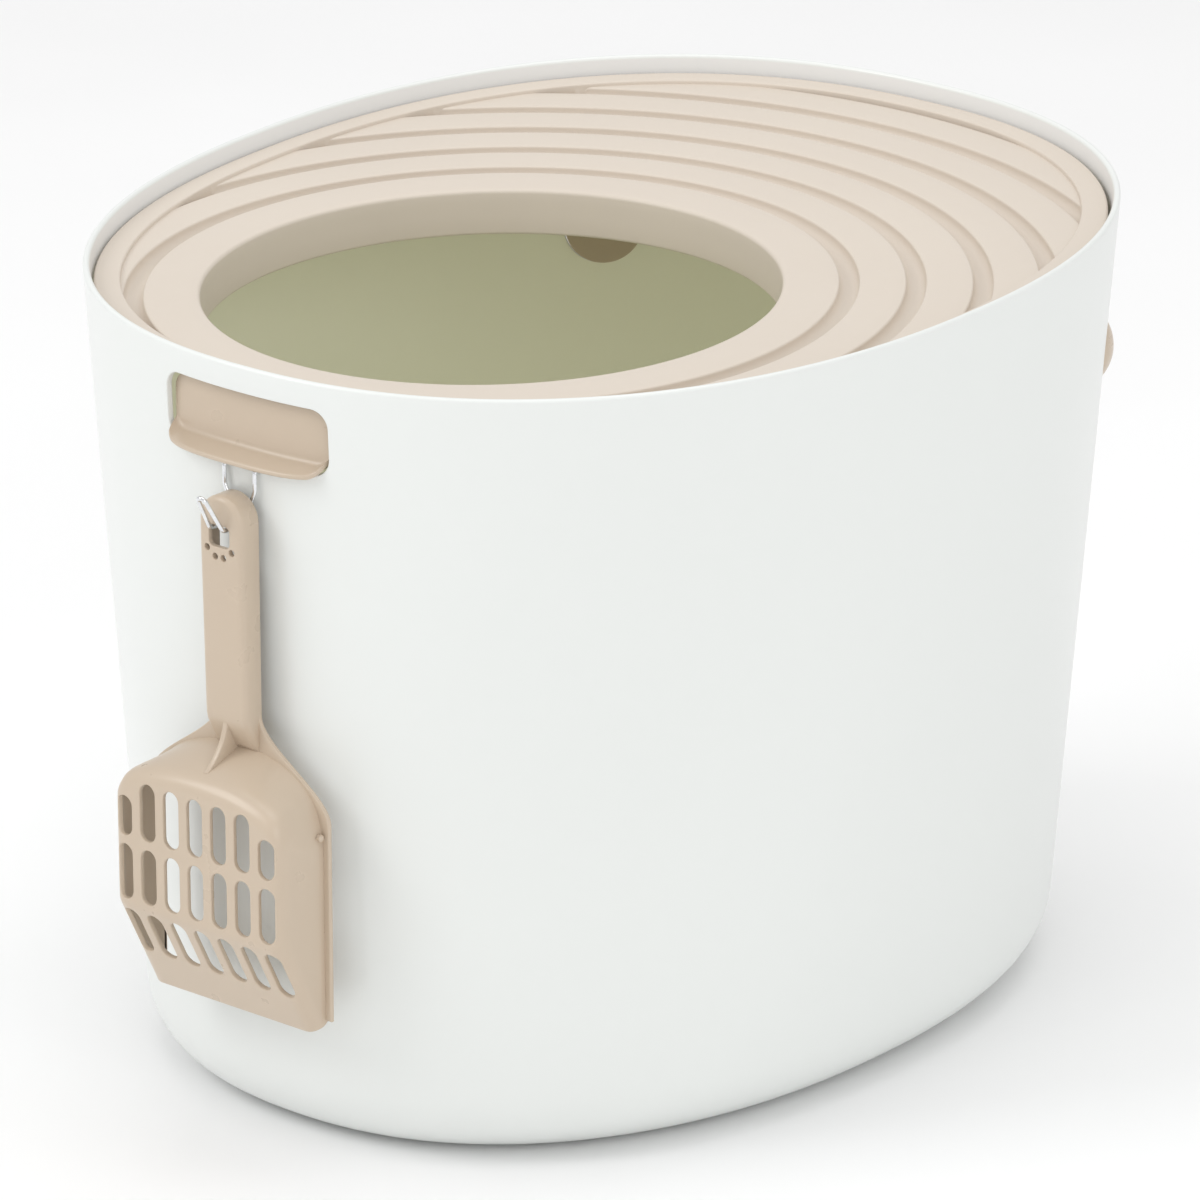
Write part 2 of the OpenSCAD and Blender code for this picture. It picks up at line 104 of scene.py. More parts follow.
HOOK_HALF = 8.5
HOOK_HEIGHT = 308.0
WIRE_BORE = 1.7
WIRE_RADIUS = 1.0
SCOOP_PLANE, HANDLE_FRONT, HANDLE_WAIST, PAD_TOP = 238.0, 12.0, 10.5, 285.2

VIEW_AZIMUTH = radians(39.7)

# ---- mesh kit ----


class Mesh:
    """Points and faces under construction, in millimetres. The faces whose numbers are
    in second take the second material."""

    def __init__(self):
        self.points = []
        self.faces = []
        self.second = set()

    def add(self, points):
        start = len(self.points)
        self.points.extend(Vector(p) for p in points)
        return list(range(start, len(self.points)))

    def strip(self, low, high):
        """Quads between two rings of equal length."""
        count = len(low)
        for i in range(count):
            j = (i + 1) % count
            self.faces.append((low[i], low[j], high[j], high[i]))

    def strips(self, rows, flip=False):
        for low, high in zip(rows, rows[1:]):
            self.strip(*((high, low) if flip else (low, high)))

    def loft(self, rows, ring=False):
        """Joins rings of points; returns the rings of indices."""
        made = [self.add(row) for row in rows]
        self.strips(made)
        if ring:
            self.strip(made[-1], made[0])
        return made

    def solid(self, rows):
        """Joins rings of points and closes both ends with one face each."""
        made = self.loft(rows)
        self.faces.append(tuple(made[0]))
        self.faces.append(tuple(reversed(made[-1])))

    def fan(self, row, centre, flip=False):
        """Closes a ring of indices with triangles about a point."""
        middle = self.add([centre])[0]
        for i, a in enumerate(row):
            b = row[(i + 1) % len(row)]
            self.faces.append((b, a, middle) if flip else (a, b, middle))


def linked(name, data):
    """Adds an object to the scene."""
    made = bpy.data.objects.new(name, data)
    bpy.context.scene.collection.objects.link(made)
    return made


def add_piece(name, mesh, material, body, node, sharp=35.0, place=None):
    """Makes the object, with the sharp edges marked, and ties it to its CAD body."""
    data = bpy.data.meshes.new(name)
    place = place or (lambda p: p)
    data.from_pydata([place(p) * MM for p in mesh.points], [], mesh.faces)
    for number in mesh.second:
        data.polygons[number].material_index = 1
    work = bmesh.new()
    work.from_mesh(data)
    bmesh.ops.remove_doubles(work, verts=work.verts, dist=2e-6)
    bmesh.ops.dissolve_degenerate(work, dist=1e-6, edges=work.edges)
    bmesh.ops.recalc_face_normals(work, faces=work.faces)
    limit = radians(sharp)
    for face in work.faces:
        face.smooth = True
    for edge in work.edges:
        edge.smooth = len(edge.link_faces) == 2 and edge.calc_face_angle(0) < limit
    work.to_mesh(data)
    work.free()
    piece = linked(name, data)
    for one in material if isinstance(material, list) else [material]:
        data.materials.append(one)
    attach(piece, body)
    if node:
        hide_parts(node)


def polar(radius, angle):
    return radius * cos(angle), radius * sin(angle)


def arc(centre, radius, start, end, steps):
    """Points on an arc between two angles in degrees, with both ends."""
    turns = [polar(radius, radians(start + (end - start) * k / steps)) for k in range(steps + 1)]
    return [(centre[0] + x, centre[1] + y) for x, y in turns]


def bisect(low, high, below):
    """The value at which below() turns false."""
    for _ in range(40):
        middle = (low + high) / 2
        if below(middle):
            low = middle
        else:
            high = middle
    return (low + high) / 2


def mix(a, b, f):
    return tuple(p + (q - p) * f for p, q in zip(a, b))


def outward(direction):
    """Level unit vector in a direction measured from the X axis."""
    return Vector((*polar(1, direction), 0))


def sideways(direction):
    """Level unit vector a quarter turn anticlockwise from outward()."""
    return Vector((-sin(direction), cos(direction), 0))


def inside(point, polygon):
    """Whether a 2-D point lies in a closed outline."""
    x, y = point
    hit = False
    for (xa, ya), (xb, yb) in zip(polygon, polygon[1:] + polygon[:1]):
        if (ya > y) != (yb > y) and x < xa + (y - ya) * (xb - xa) / (yb - ya):
            hit = not hit
    return hit


def triangulate(points, edges, keep):
    """Constrained triangles of 2-D points, those whose centre passes keep()."""
    out = delaunay_2d_cdt([Vector(p) for p in points], edges, [], 0, 1e-7, True)
    source = [ids[0] for ids in out[3]]
    faces = []
    for face in out[2]:
        ids = [source[i] for i in face]
        centre = [sum(points[i][k] for i in ids) / len(ids) for k in (0, 1)]
        if len(set(ids)) == len(ids) and keep(centre):
            faces.append(ids)
    return faces


def arc_rows(radius, steps):
    """(inset, drop) pairs round an edge of that radius, after its start."""
    rows = []
    for k in range(1, steps + 1):
        q = radians(90 * k / steps)
        rows.append((radius * (1 - sin(q)), radius * (1 - cos(q))))
    return rows


def edge_rows(mesh, first, last, near, far, outline, down):
    """Rounds the edge of a hole between its loops of indices on two faces."""
    rows = [first] + [mesh.add([near(p, drop) for p in outline(inset)]) for inset, drop in down]
    rows += [mesh.add([far(p, drop) for p in outline(inset)]) for inset, drop in reversed(down)]
    mesh.strips(rows + [last], flip=True)


def shell_with_holes(mesh, surface, us, vs, holes, thickness, fillet=0.5, wrap=False):
    """A curved sheet with thickness: surface(u, v, depth) gives its points. Each hole is a
    function of how far its outline is widened. Returns the index grids of both faces."""
    columns = len(us) if wrap else len(us) - 1
    outlines = [hole(fillet) for hole in holes]
    step_u, step_v = us[1] - us[0], vs[len(vs) // 2 + 1] - vs[len(vs) // 2]
    touched = set()
    for outline in outlines:
        across, up = zip(*outline)
        low_u, high_u = min(across) - 0.6 * step_u, max(across) + 0.6 * step_u
        low_v, high_v = min(up) - 0.6 * step_v, max(up) + 0.6 * step_v
        for i in range(len(us) - 1):
            if us[i + 1] < low_u or us[i] > high_u:
                continue
            for j in range(len(vs) - 1):
                if vs[j + 1] >= low_v and vs[j] <= high_v:
                    touched.add((i, j))
    index = {}
    flat = []
    for i, u in enumerate(us):
        for j, v in enumerate(vs):
            around = [(i - 1, j - 1), (i - 1, j), (i, j - 1), (i, j)]
            if all(cell in touched for cell in around):
                near = any(inside((u, v), outline) for outline in outlines) or any(
                    math.hypot(u - p[0], v - p[1]) < 0.35 * min(step_u, step_v)
                    for outline in outlines for p in outline)
                if near:
                    continue
            index[i, j] = len(flat)
            flat.append((u, v))
    faces = []
    for i in range(columns):
        for j in range(len(vs) - 1):
            if (i, j) not in touched:
                k = (i + 1) % len(us)
                faces.append([index[i, j], index[k, j], index[k, j + 1], index[i, j + 1]])
    loops = []
    for outline in outlines:
        loops.append(list(range(len(flat), len(flat) + len(outline))))
        flat.extend(outline)
    if touched:
        corners = [(i + di, j + dj) for i, j in touched for di, dj in ((0, 0), (1, 0), (0, 1), (1, 1))]
        local = dict.fromkeys(index[corner] for corner in corners if corner in index)
        ids = list(local) + [n for loop in loops for n in loop]
        order = {n: k for k, n in enumerate(ids)}
        edges = []
        for loop in loops:
            edges += [(order[a], order[b]) for a, b in zip(loop, loop[1:] + loop[:1])]
        for i, j in touched:
            sides = {(i - 1, j): ((i, j), (i, j + 1)), (i + 1, j): ((i + 1, j), (i + 1, j + 1)),
                     (i, j - 1): ((i, j), (i + 1, j)), (i, j + 1): ((i, j + 1), (i + 1, j + 1))}
            for other, (a, b) in sides.items():
                if other not in touched:
                    edges.append((order[index[a]], order[index[b]]))

        def keep(centre):
            i = sum(1 for u in us if u <= centre[0]) - 1
            j = sum(1 for v in vs if v <= centre[1]) - 1
            return (i, j) in touched and not any(inside(centre, o) for o in outlines)

        for face in triangulate([flat[n] for n in ids], edges, keep):
            faces.append([ids[n] for n in face])
    outer = mesh.add([surface(u, v, 0) for u, v in flat])
    inner = mesh.add([surface(u, v, thickness) for u, v in flat])
    mesh.faces += [tuple(outer[n] for n in face) for face in faces]
    mesh.second.update(range(len(mesh.faces), len(mesh.faces) + len(faces)))
    mesh.faces += [tuple(inner[n] for n in reversed(face)) for face in faces]
    for hole, loop in zip(holes, loops):
        edge_rows(mesh, [outer[n] for n in loop], [inner[n] for n in loop],
                  lambda p, drop: surface(*p, drop), lambda p, drop: surface(*p, thickness - drop),
                  hole, arc_rows(fillet, 4))

    def grid(side):
        return [[side[index[i, j]] if (i, j) in index else None for j in range(len(vs))]
                for i in range(len(us))]

    return grid(outer), grid(inner)


def plate(mesh, outline, holes, front, back, front_radius, back_radius, spacing, steps=5, skirt=0.0):
    """A slab with rounded edges. outline(inset) and each hole(widening) give 2-D points;
    front(u, v) and back(u, v) give 3-D points, and the edge runs between them. With a skirt,
    a wall of that thickness runs from the edge back to the plane Y = 0."""
    fillet = 0.4
    border = outline(front_radius)
    cuts = [hole(fillet) for hole in holes]
    flat = list(border)
    loops = [list(range(len(border)))]
    for cut in cuts:
        loops.append(list(range(len(flat), len(flat) + len(cut))))
        flat.extend(cut)
    margin = 0.45 * spacing
    core = outline(max(front_radius, skirt + back_radius) + margin)
    low, high = [[pick(p[k] for p in border) for k in (0, 1)] for pick in (min, max)]
    for i in range(int((high[0] - low[0]) / spacing) + 1):
        for j in range(int((high[1] - low[1]) / spacing) + 1):
            p = (low[0] + (i + 0.5) * spacing, low[1] + (j + 0.5) * spacing)
            clear = inside(p, core) and not any(
                inside(p, cut) or min(math.dist(p, q) for q in cut) < margin for cut in cuts)
            if clear:
                flat.append(p)
    edges = []
    for loop in loops:
        edges += list(zip(loop, loop[1:] + loop[:1]))
    faces = triangulate(
        flat, edges, lambda c: inside(c, border) and not any(inside(c, cut) for cut in cuts))
    top = mesh.add([front(*p) for p in flat])
    shifted = outline(skirt + back_radius) + flat[len(border):]
    bottom = mesh.add([back(*p) for p in shifted])
    mesh.faces += [tuple(top[n] for n in face) for face in faces]
    mesh.faces += [tuple(bottom[n] for n in reversed(face)) for face in faces]

    def towards(near, far):
        def point(p, drop):
            a, b = Vector(near(*p)), Vector(far(*p))
            return a + (b - a).normalized() * drop

        return point

    from_front, from_back = towards(front, back), towards(back, front)
    rows = [top[:len(border)]]
    for inset, drop in arc_rows(front_radius, steps):
        rows.append(mesh.add([from_front(p, drop) for p in outline(inset)]))
    if skirt:
        round_in, round_up = 0.5, 0.15
        for inset, level in ((0, round_in), (round_up, round_up), (round_in, 0), (skirt - round_in, 0),
                             (skirt - round_up, round_up), (skirt, round_in)):
            rows.append(mesh.add([Vector((u, level, v)) for u, v in outline(inset)]))
    for inset, drop in reversed(arc_rows(back_radius, steps)):
        level = -drop if skirt else drop
        rows.append(mesh.add([from_back(p, level) for p in outline(skirt + inset)]))
    mesh.strips(rows + [bottom[:len(border)]], flip=True)
    for hole, loop in zip(holes, loops[1:]):
        edge_rows(mesh, [top[n] for n in loop], [bottom[n] for n in loop], from_front, from_back,
                  hole, arc_rows(fillet, 3))


def lathe(mesh, profile, frame_of, steps=64):
    """Turns (radius, height) points about the axis of a frame: frame_of(x, y, height)."""
    mesh.loft([[frame_of(x, y, height) for x, y in disc((0, 0), radius, 0, steps)]
               for radius, height in profile])


def stadium(centre, width, height, widen, steps=10):
    """Upright slot outline with round ends."""
    r = width / 2 + widen
    (x, y), straight = centre, height / 2 - width / 2
    return arc((x, y + straight), r, 0, 180, steps) + arc((x, y - straight), r, 180, 360, steps)


def disc(centre, radius, widen, steps):
    return arc(centre, radius + widen, 0, 360, steps)[:-1]


def rounded_rectangle(width, height, radius, steps=8):
    points, x, y = [], width / 2 - radius, height / 2 - radius
    for number, centre in enumerate(((x, y), (-x, y), (-x, -y), (x, -y))):
        points += arc(centre, radius, 90 * number, 90 * number + 90, steps)
    return points


# ---- oval shell ----


def signed_power(value):
    return math.copysign(abs(value) ** OVAL_POWER, value)


def half_width(z):
    return BASE_HALF_WIDTH + FLARE_WIDTH * z


def half_length(z):
    return BASE_HALF_LENGTH + FLARE_LENGTH * z


def half_axes(z, inset):
    return half_width(z) - inset, half_length(z) - inset


def oval_point(a, b, t):
    s = signed_power(sin(t))
    return a * signed_power(cos(t)) * (1 + EGG * s), b * s


def wall_point(z, inset, t):
    x, y = oval_point(*half_axes(z, inset), t)
    return Vector((x, y, z))


def facing(z, inset, direction):
    """Wall point whose outward normal has the direction given."""
    a, b = half_axes(z, inset)
    t = math.atan(abs(math.tan(direction) * b / a) ** (1 / (2 - OVAL_POWER)))
    if cos(direction) < 0:
        t = pi - t
    return wall_point(z, inset, math.copysign(t, sin(direction)))


def lid_face(y):
    return LID_HEIGHT + SLOPE * y


def rear_pivot(direction):
    p = facing(SEAT_LEVEL, WALL + REAR_PIVOT_INSET, direction)
    return Vector((p.x, p.y, lid_face(p.y) - PIVOT_DROP))


FRONT_PIVOT_Y = -(half_length(lid_face(-230)) - WALL - FRONT_PIVOT_INSET)
FRONT_PIVOT = Vector((0, FRONT_PIVOT_Y, lid_face(FRONT_PIVOT_Y) - PIVOT_DROP))


def rim_z(t, drop, inset):
    s = signed_power(sin(t))
    rise = RIM_HEIGHT - drop + SLOPE * (BASE_HALF_LENGTH - inset) * s
    return rise / (1 - SLOPE * FLARE_LENGTH * s)


def solve_t(z, tangent, target, guess):
    """Parameter near the guess where the wall at height z lies at target along tangent."""
    def below(t):
        p = wall_point(z, 0, t)
        return p.x * tangent[0] + p.y * tangent[1] < target

    return bisect(guess - 0.6, guess + 0.6, below)


ROUND = WALL / 2
U_SCALE = 200           # u is the oval's parameter times this, about its length in mm


def tub_surface(u, v, depth):
    """u runs round the oval, and v is the height before the rim's slope."""
    t = u / U_SCALE
    if v <= BOTTOM_RADIUS:
        q = pi / 2 * v / BOTTOM_RADIUS
        radius = BOTTOM_RADIUS - depth
        low = FLOOR * depth / WALL
        return wall_point(low + radius * (1 - cos(q)), depth + radius * (1 - sin(q)), t)
    base = FLOOR * depth / WALL + BOTTOM_RADIUS - depth
    share = (v - BOTTOM_RADIUS) / (RIM_HEIGHT - BOTTOM_RADIUS)
    return wall_point(base + share * (rim_z(t, ROUND, depth) - base), depth, t)


def tub_v(z, t):
    share = (z - BOTTOM_RADIUS) / (rim_z(t, ROUND, 0) - BOTTOM_RADIUS)
    return BOTTOM_RADIUS + share * (RIM_HEIGHT - BOTTOM_RADIUS)


def wall_hole(outline, tangent, origin, height, guess):
    """Outline in the wall: 2-D points across and up become (u, v)."""
    points = []
    for across, up in outline:
        z = height + up
        t = solve_t(z, tangent, origin + across, guess)
        points.append((U_SCALE * t, tub_v(z, t)))
    return points


def window_hole(widen):
    shape = rounded_rectangle(WINDOW_WIDTH + 2 * widen, WINDOW_HEIGHT + 2 * widen,
                              WINDOW_RADIUS + widen, 9)
    full = []
    for a, b in zip(shape, shape[1:] + shape[:1]):
        parts = max(1, round(math.dist(a, b) / 5))
        full += [mix(a, b, k / parts) for k in range(parts)]
    return wall_hole(full, (1, 0), 0, WINDOW_BOTTOM + WINDOW_HEIGHT / 2, -pi / 2)


def dome_hole(direction):
    pivot = rear_pivot(direction)
    tangent = (-sin(direction), cos(direction))
    origin = pivot.x * tangent[0] + pivot.y * tangent[1]
    point = facing(DOME_HEIGHT, 0, direction)
    guess = math.atan2(point.y / half_length(DOME_HEIGHT), point.x / half_width(DOME_HEIGHT))

    def hole(widen):
        outline = disc((0, 0), DOME_RADIUS + DOME_PLAY, widen, 72)
        return wall_hole(outline, tangent, origin, DOME_HEIGHT, guess)

    return hole


def wire_hole(side):
    return lambda widen: wall_hole(disc((0, 0), WIRE_BORE, widen, 20), (1, 0), side * HOOK_HALF,
                                   HOOK_HEIGHT, -pi / 2)


def make_tub(material):
    mesh = Mesh()
    columns = 288
    start = -1.5 * pi
    ts = [start + 2 * pi * i / columns for i in range(columns)]
    us = [U_SCALE * t for t in ts]
    vs = [BOTTOM_RADIUS * k / 14 for k in range(15)]
    rows = 56
    vs += [BOTTOM_RADIUS + (RIM_HEIGHT - BOTTOM_RADIUS) * k / rows for k in range(1, rows + 1)]
    holes = [window_hole, dome_hole(LATCH_ANGLE), wire_hole(-1), wire_hole(1)]
    left_hole = dome_hole(pi - LATCH_ANGLE)

    def left_in_range(widen):
        points = left_hole(widen)
        turn = 2 * pi * U_SCALE if points[0][0] > us[-1] else 0
        return [(u - turn, v) for u, v in points]

    holes.append(left_in_range)
    outer, inner = shell_with_holes(mesh, tub_surface, us, vs, holes, WALL, 0.6, wrap=True)
    rim = [[column[-1] for column in outer]]
    steps = 10
    for k in range(1, steps):
        q = pi * k / steps
        inset, drop = ROUND * (1 - cos(q)), ROUND * (1 - sin(q))
        rim.append(mesh.add([wall_point(rim_z(t, drop, inset), inset, t) for t in ts]))
    mesh.strips(rim + [[column[-1] for column in inner]])
    for side, z, flip in ((outer, 0.0, True), (inner, FLOOR, False)):
        last = [column[0] for column in side]
        for scale in (0.8, 0.6, 0.4, 0.2):
            points = [wall_point(z, BOTTOM_RADIUS, t) * scale for t in ts]
            ring = mesh.add([(p.x, p.y, z) for p in points])
            mesh.strip(last, ring)
            last = ring
        mesh.fan(last, (0, 0, z), flip)
    add_piece("tub_shell", mesh, material, "tub", "tub")


def make_rests(material):
    """Small brackets under the lid's edge, inside the tub."""
    mesh = Mesh()
    for degrees in (-50, -130, 0.001, 179.999, 72, 108):
        direction = radians(degrees)
        top = lid_face(facing(SEAT_LEVEL, WALL, direction).y - 8) - LID_PLATE - 0.4
        foot = facing(top, WALL, direction)
        out, along = outward(direction), sideways(direction)
        shape = [(0.6, -0.3), (-4.4, -0.3), (-4.8, -0.5), (-5, -1), (-5, -2), (-4.6, -2.9), (0.4, -11.8)]
        rows = []
        for width, shrink in ((-8, 0.92), (-7.6, 1.0), (7.6, 1.0), (8, 0.92)):
            rows.append([foot + along * width + out * (x * shrink) + Vector((0, 0, z * shrink))
                         for x, z in shape])
        mesh.solid(rows)
    add_piece("lid_rests", mesh, material, "tub", None)


# ---- lid ----

TILT = math.atan(SLOPE)


def lid_place(p):
    x, y, z = p
    return Vector((x, y * cos(TILT) - z * sin(TILT),
                   LID_HEIGHT + y * sin(TILT) + z * cos(TILT)))


LID_OVAL = half_axes(LID_HEIGHT, LID_EDGE)
BAND_OVAL = half_axes(LID_HEIGHT, BORDER_INSET)


def ray_length(angle, a, b):
    """Distance from the hole's centre to an oval, in a direction."""
    def within(r):
        x, y = r * cos(angle), r * sin(angle) - HOLE_OFFSET
        s = max(-1, min(1, y / b))
        return abs(x / (a * (1 + EGG * s))) ** (2 / OVAL_POWER) + abs(y / b) ** (2 / OVAL_POWER) < 1

    return bisect(0.0, 400.0, within)


def groove_profile():
    """(offset, height) across one groove, from its inner to its outer lip."""
    half, lip, bowl = GROOVE_WIDTH / 2, 1.0, 3.5
    side = arc((-half - 0.6, -lip), lip, 90, 0, 4)
    side += arc((side[-1][0] + bowl, bowl - GROOVE_DEPTH), bowl, 180, 270, 6)
    return side + [(-x, z) for x, z in reversed(side)]


def lid_profile():
    """(radius, height) of the banded face from the hole's edge outwards."""
    points = [(HOLE_RADIUS + HOLE_ROUND, 0.0)]
    for centre in GROOVES:
        lips = [(centre + x, z) for x, z in groove_profile()]
        start = points[-1][0]
        points += [(start + (lips[0][0] - start) * f, 0.0) for f in (0.33, 0.67)]
        points += lips
    points.append((points[-1][0] + 12, 0.0))
    return points


def underside_profile():
    """(radius, height) below the banded face, with a channel under each groove."""
    points = [(HOLE_RADIUS + COLLAR_WALL + 1, -LID_PLATE)]
    for centre in GROOVES:
        for x, z in ((-7.2, 0), (-6.4, -1), (-6.2, -2.6), (-4.6, -4), (4.6, -4), (6.2, -2.6),
                     (6.4, -1), (7.2, 0)):
            points.append((centre + x, -LID_PLATE + z))
    points.append((points[-1][0] + 12, -LID_PLATE))
    return points


def height_at(profile, r):
    for (ra, za), (rb, zb) in zip(profile, profile[1:]):
        if r <= rb:
            return za + (zb - za) * max(0.0, (r - ra)) / max(1e-9, rb - ra)
    return profile[-1][1]


def make_lid(material):
    mesh = Mesh()
    top, under = lid_profile(), underside_profile()
    sections = []
    columns = 900
    step_radius, edge_radius, lip_radius = 0.9, 1.4, 1.5
    for i in range(columns):
        angle = 2 * pi * i / columns
        band, edge = ray_length(angle, *BAND_OVAL), ray_length(angle, *LID_OVAL)
        section = arc((HOLE_RADIUS + HOLE_ROUND, -HOLE_ROUND), HOLE_ROUND, 180, 112.5, 3)
        section += [(r, z) if r < band else (band, height_at(top, band)) for r, z in top]
        section += arc((band + 0.05 + step_radius, step_radius), step_radius, 180, 90, 4)
        section.append((edge - 4, BORDER_STEP))
        section += arc((edge - edge_radius, BORDER_STEP - edge_radius), edge_radius, 90, 0, 5)
        x, y = edge * cos(angle), edge * sin(angle) - HOLE_OFFSET
        pocket = abs(x) < PANEL_WIDTH / 2 + 2 and y < 0
        low = -0.4 if pocket else -LID_PLATE
        section += [(edge, min(0.3, low + 0.6)), (edge - 0.6, low), (band + 3, low),
                    (band + 2, -LID_PLATE)]
        section += [(r, z) if r < band + 2 else (band + 2, height_at(under, band + 2))
                    for r, z in reversed(under)]
        section.append((HOLE_RADIUS + COLLAR_WALL, -LID_PLATE - 1))
        section += arc((HOLE_RADIUS + lip_radius, lip_radius - COLLAR_DEPTH), lip_radius, 0, -180, 8)
        section += [(HOLE_RADIUS, -12), (HOLE_RADIUS, -6)]
        sections.append([lid_place((r * cos(angle), r * sin(angle) - HOLE_OFFSET, z))
                         for r, z in section])
    mesh.loft(sections, ring=True)
    add_piece("lid_plate", mesh, material, "lid", "lid", sharp=32)


def lug_mesh(mesh, pivot, direction, width):
    """A pair of hinge lugs with a bore, hanging from the lid."""
    out, along = outward(direction), sideways(direction)
    top = PIVOT_DROP - 2.6
    outline = arc((0, 0), LUG_RADIUS, 180, 360, 12) + [(LUG_RADIUS, top), (-LUG_RADIUS, top)]
    for side in (-1, 1):
        centre = pivot + along * (side * (width / 2 + 2.5))

        def place(offset):
            return lambda u, v: centre + out * u + Vector((0, 0, v)) + along * offset

        def shrunk(inset):
            scale = 1 - inset / LUG_RADIUS
            return [(u * scale, v * scale if v < 0 else v - inset * (v > 1)) for u, v in outline]

        plate(mesh, shrunk, [lambda widen: disc((0, 0), LUG_BORE, widen, 24)], place(2), place(-2),
              0.4, 0.4, 2.0, steps=2)


def make_lugs(material):
    mesh = Mesh()
    lug_mesh(mesh, FRONT_PIVOT, -pi / 2, FRONT_BARREL)
    for direction in (LATCH_ANGLE, pi - LATCH_ANGLE):
        lug_mesh(mesh, rear_pivot(direction), direction, BARREL_WIDTH)
    add_piece("lid_lugs", mesh, material, "lid", None)


# ---- latches ----


def barrel(mesh, centre, along, width):
    """Barrel with a stub pin at each end."""
    across = Vector((-along.y, along.x, 0))
    half, reach = width / 2, width / 2 + 5
    profile = [(0, -reach), (PIN_RADIUS - 0.3, -reach), (PIN_RADIUS, -reach + 0.3), (PIN_RADIUS, -half),
               (PIVOT_RADIUS - 0.3, -half), (PIVOT_RADIUS, -half + 0.3)]
    profile += [(radius, -h) for radius, h in reversed(profile)]
    lathe(mesh, profile, lambda x, y, h: centre + across * x + UP * y + along * h, 32)


def front_line(z, inset, x):
    """Y of the inside of the front wall at a height, for a distance from the middle."""
    a, b = half_axes(z, inset)
    return -b * (1 - (abs(x) / a) ** (2 / OVAL_POWER)) ** (OVAL_POWER / 2)


def make_front_latch(material):
    mesh = Mesh()
    bottom = WINDOW_BOTTOM + PANEL_MARGIN
    top = WINDOW_BOTTOM + WINDOW_HEIGHT - PANEL_MARGIN
    corner = WINDOW_RADIUS - PANEL_MARGIN
    half = PANEL_WIDTH / 2
    columns = 72
    sections = []
    for i in range(columns + 1):
        x = half * sin(pi / 2 * (2 * i / columns - 1))
        x = max(-half + 0.02, min(half - 0.02, x))
        past = max(0.0, abs(x) - (half - corner))
        lift = corner - math.sqrt(max(0.0, corner * corner - past * past))
        low, high = bottom + lift, top - lift
        ledge_half = half - 0.6
        reach = LEDGE_REACH * math.sqrt(max(0.0, 1 - (abs(x) / ledge_half) ** 5))
        reach = 3.8 * min(1, reach / 3) + reach
        face = ARM_THICKNESS
        edge = min(0.6, (high - low) / 4)
        section = arc((edge, high - edge), edge, 180, 90, 3)
        section += arc((face - edge, high - edge), edge, 60, 0, 2)
        thick = LEDGE_THICKNESS * min(1, (high - low) / 8)
        blend = min(2.4, reach * 0.45, (high - low - thick) * 0.5)
        droop = math.tan(LEDGE_DROOP)
        for k in range(6):
            q = radians(180 + 90 * k / 5)
            section.append((face + blend + blend * cos(q),
                            low + thick + blend + blend * sin(q) - droop * blend * k / 5))
        tip = min(1.15, reach / 3, thick / 2)
        end = face + max(reach, 0.02)
        fall = droop * reach
        for k in range(7):
            q = radians(90 - 180 * k / 6)
            section.append((end - tip + tip * cos(q),
                            low - fall + thick / 2 + (thick / 2) * sin(q)))
        section += [(face + 0.3 * reach, low - fall * 0.3), (face * 0.5, low), (0.3, low + 0.15),
                    (0.0, low + 0.6)]
        y = front_line(WINDOW_BOTTOM, WALL + PANEL_GAP + ARM_THICKNESS, x)
        sections.append([Vector((x, y - out, z)) for out, z in section])
    mesh.solid(sections)
    barrel(mesh, FRONT_PIVOT, Vector((1, 0, 0)), FRONT_BARREL)
    reach = FRONT_BARREL / 2
    rows = []
    for i in range(13):
        x = (reach - 0.3) * (i / 6 - 1)
        y = front_line(WINDOW_BOTTOM, WALL + 1.2, x)
        back = FRONT_PIVOT.y + 1.2
        z = FRONT_PIVOT.z
        rows.append([Vector((x, depth, z - fall)) for depth, fall in
                     ((y, 6.7), (back - 0.4, 6.7), (back, 6.3), (back, 0.6), (back - 0.4, 0.1), (y, 0.1))])
    mesh.solid(rows)
    add_piece("front_latch_panel", mesh, material, "front_latch", "front_latch")


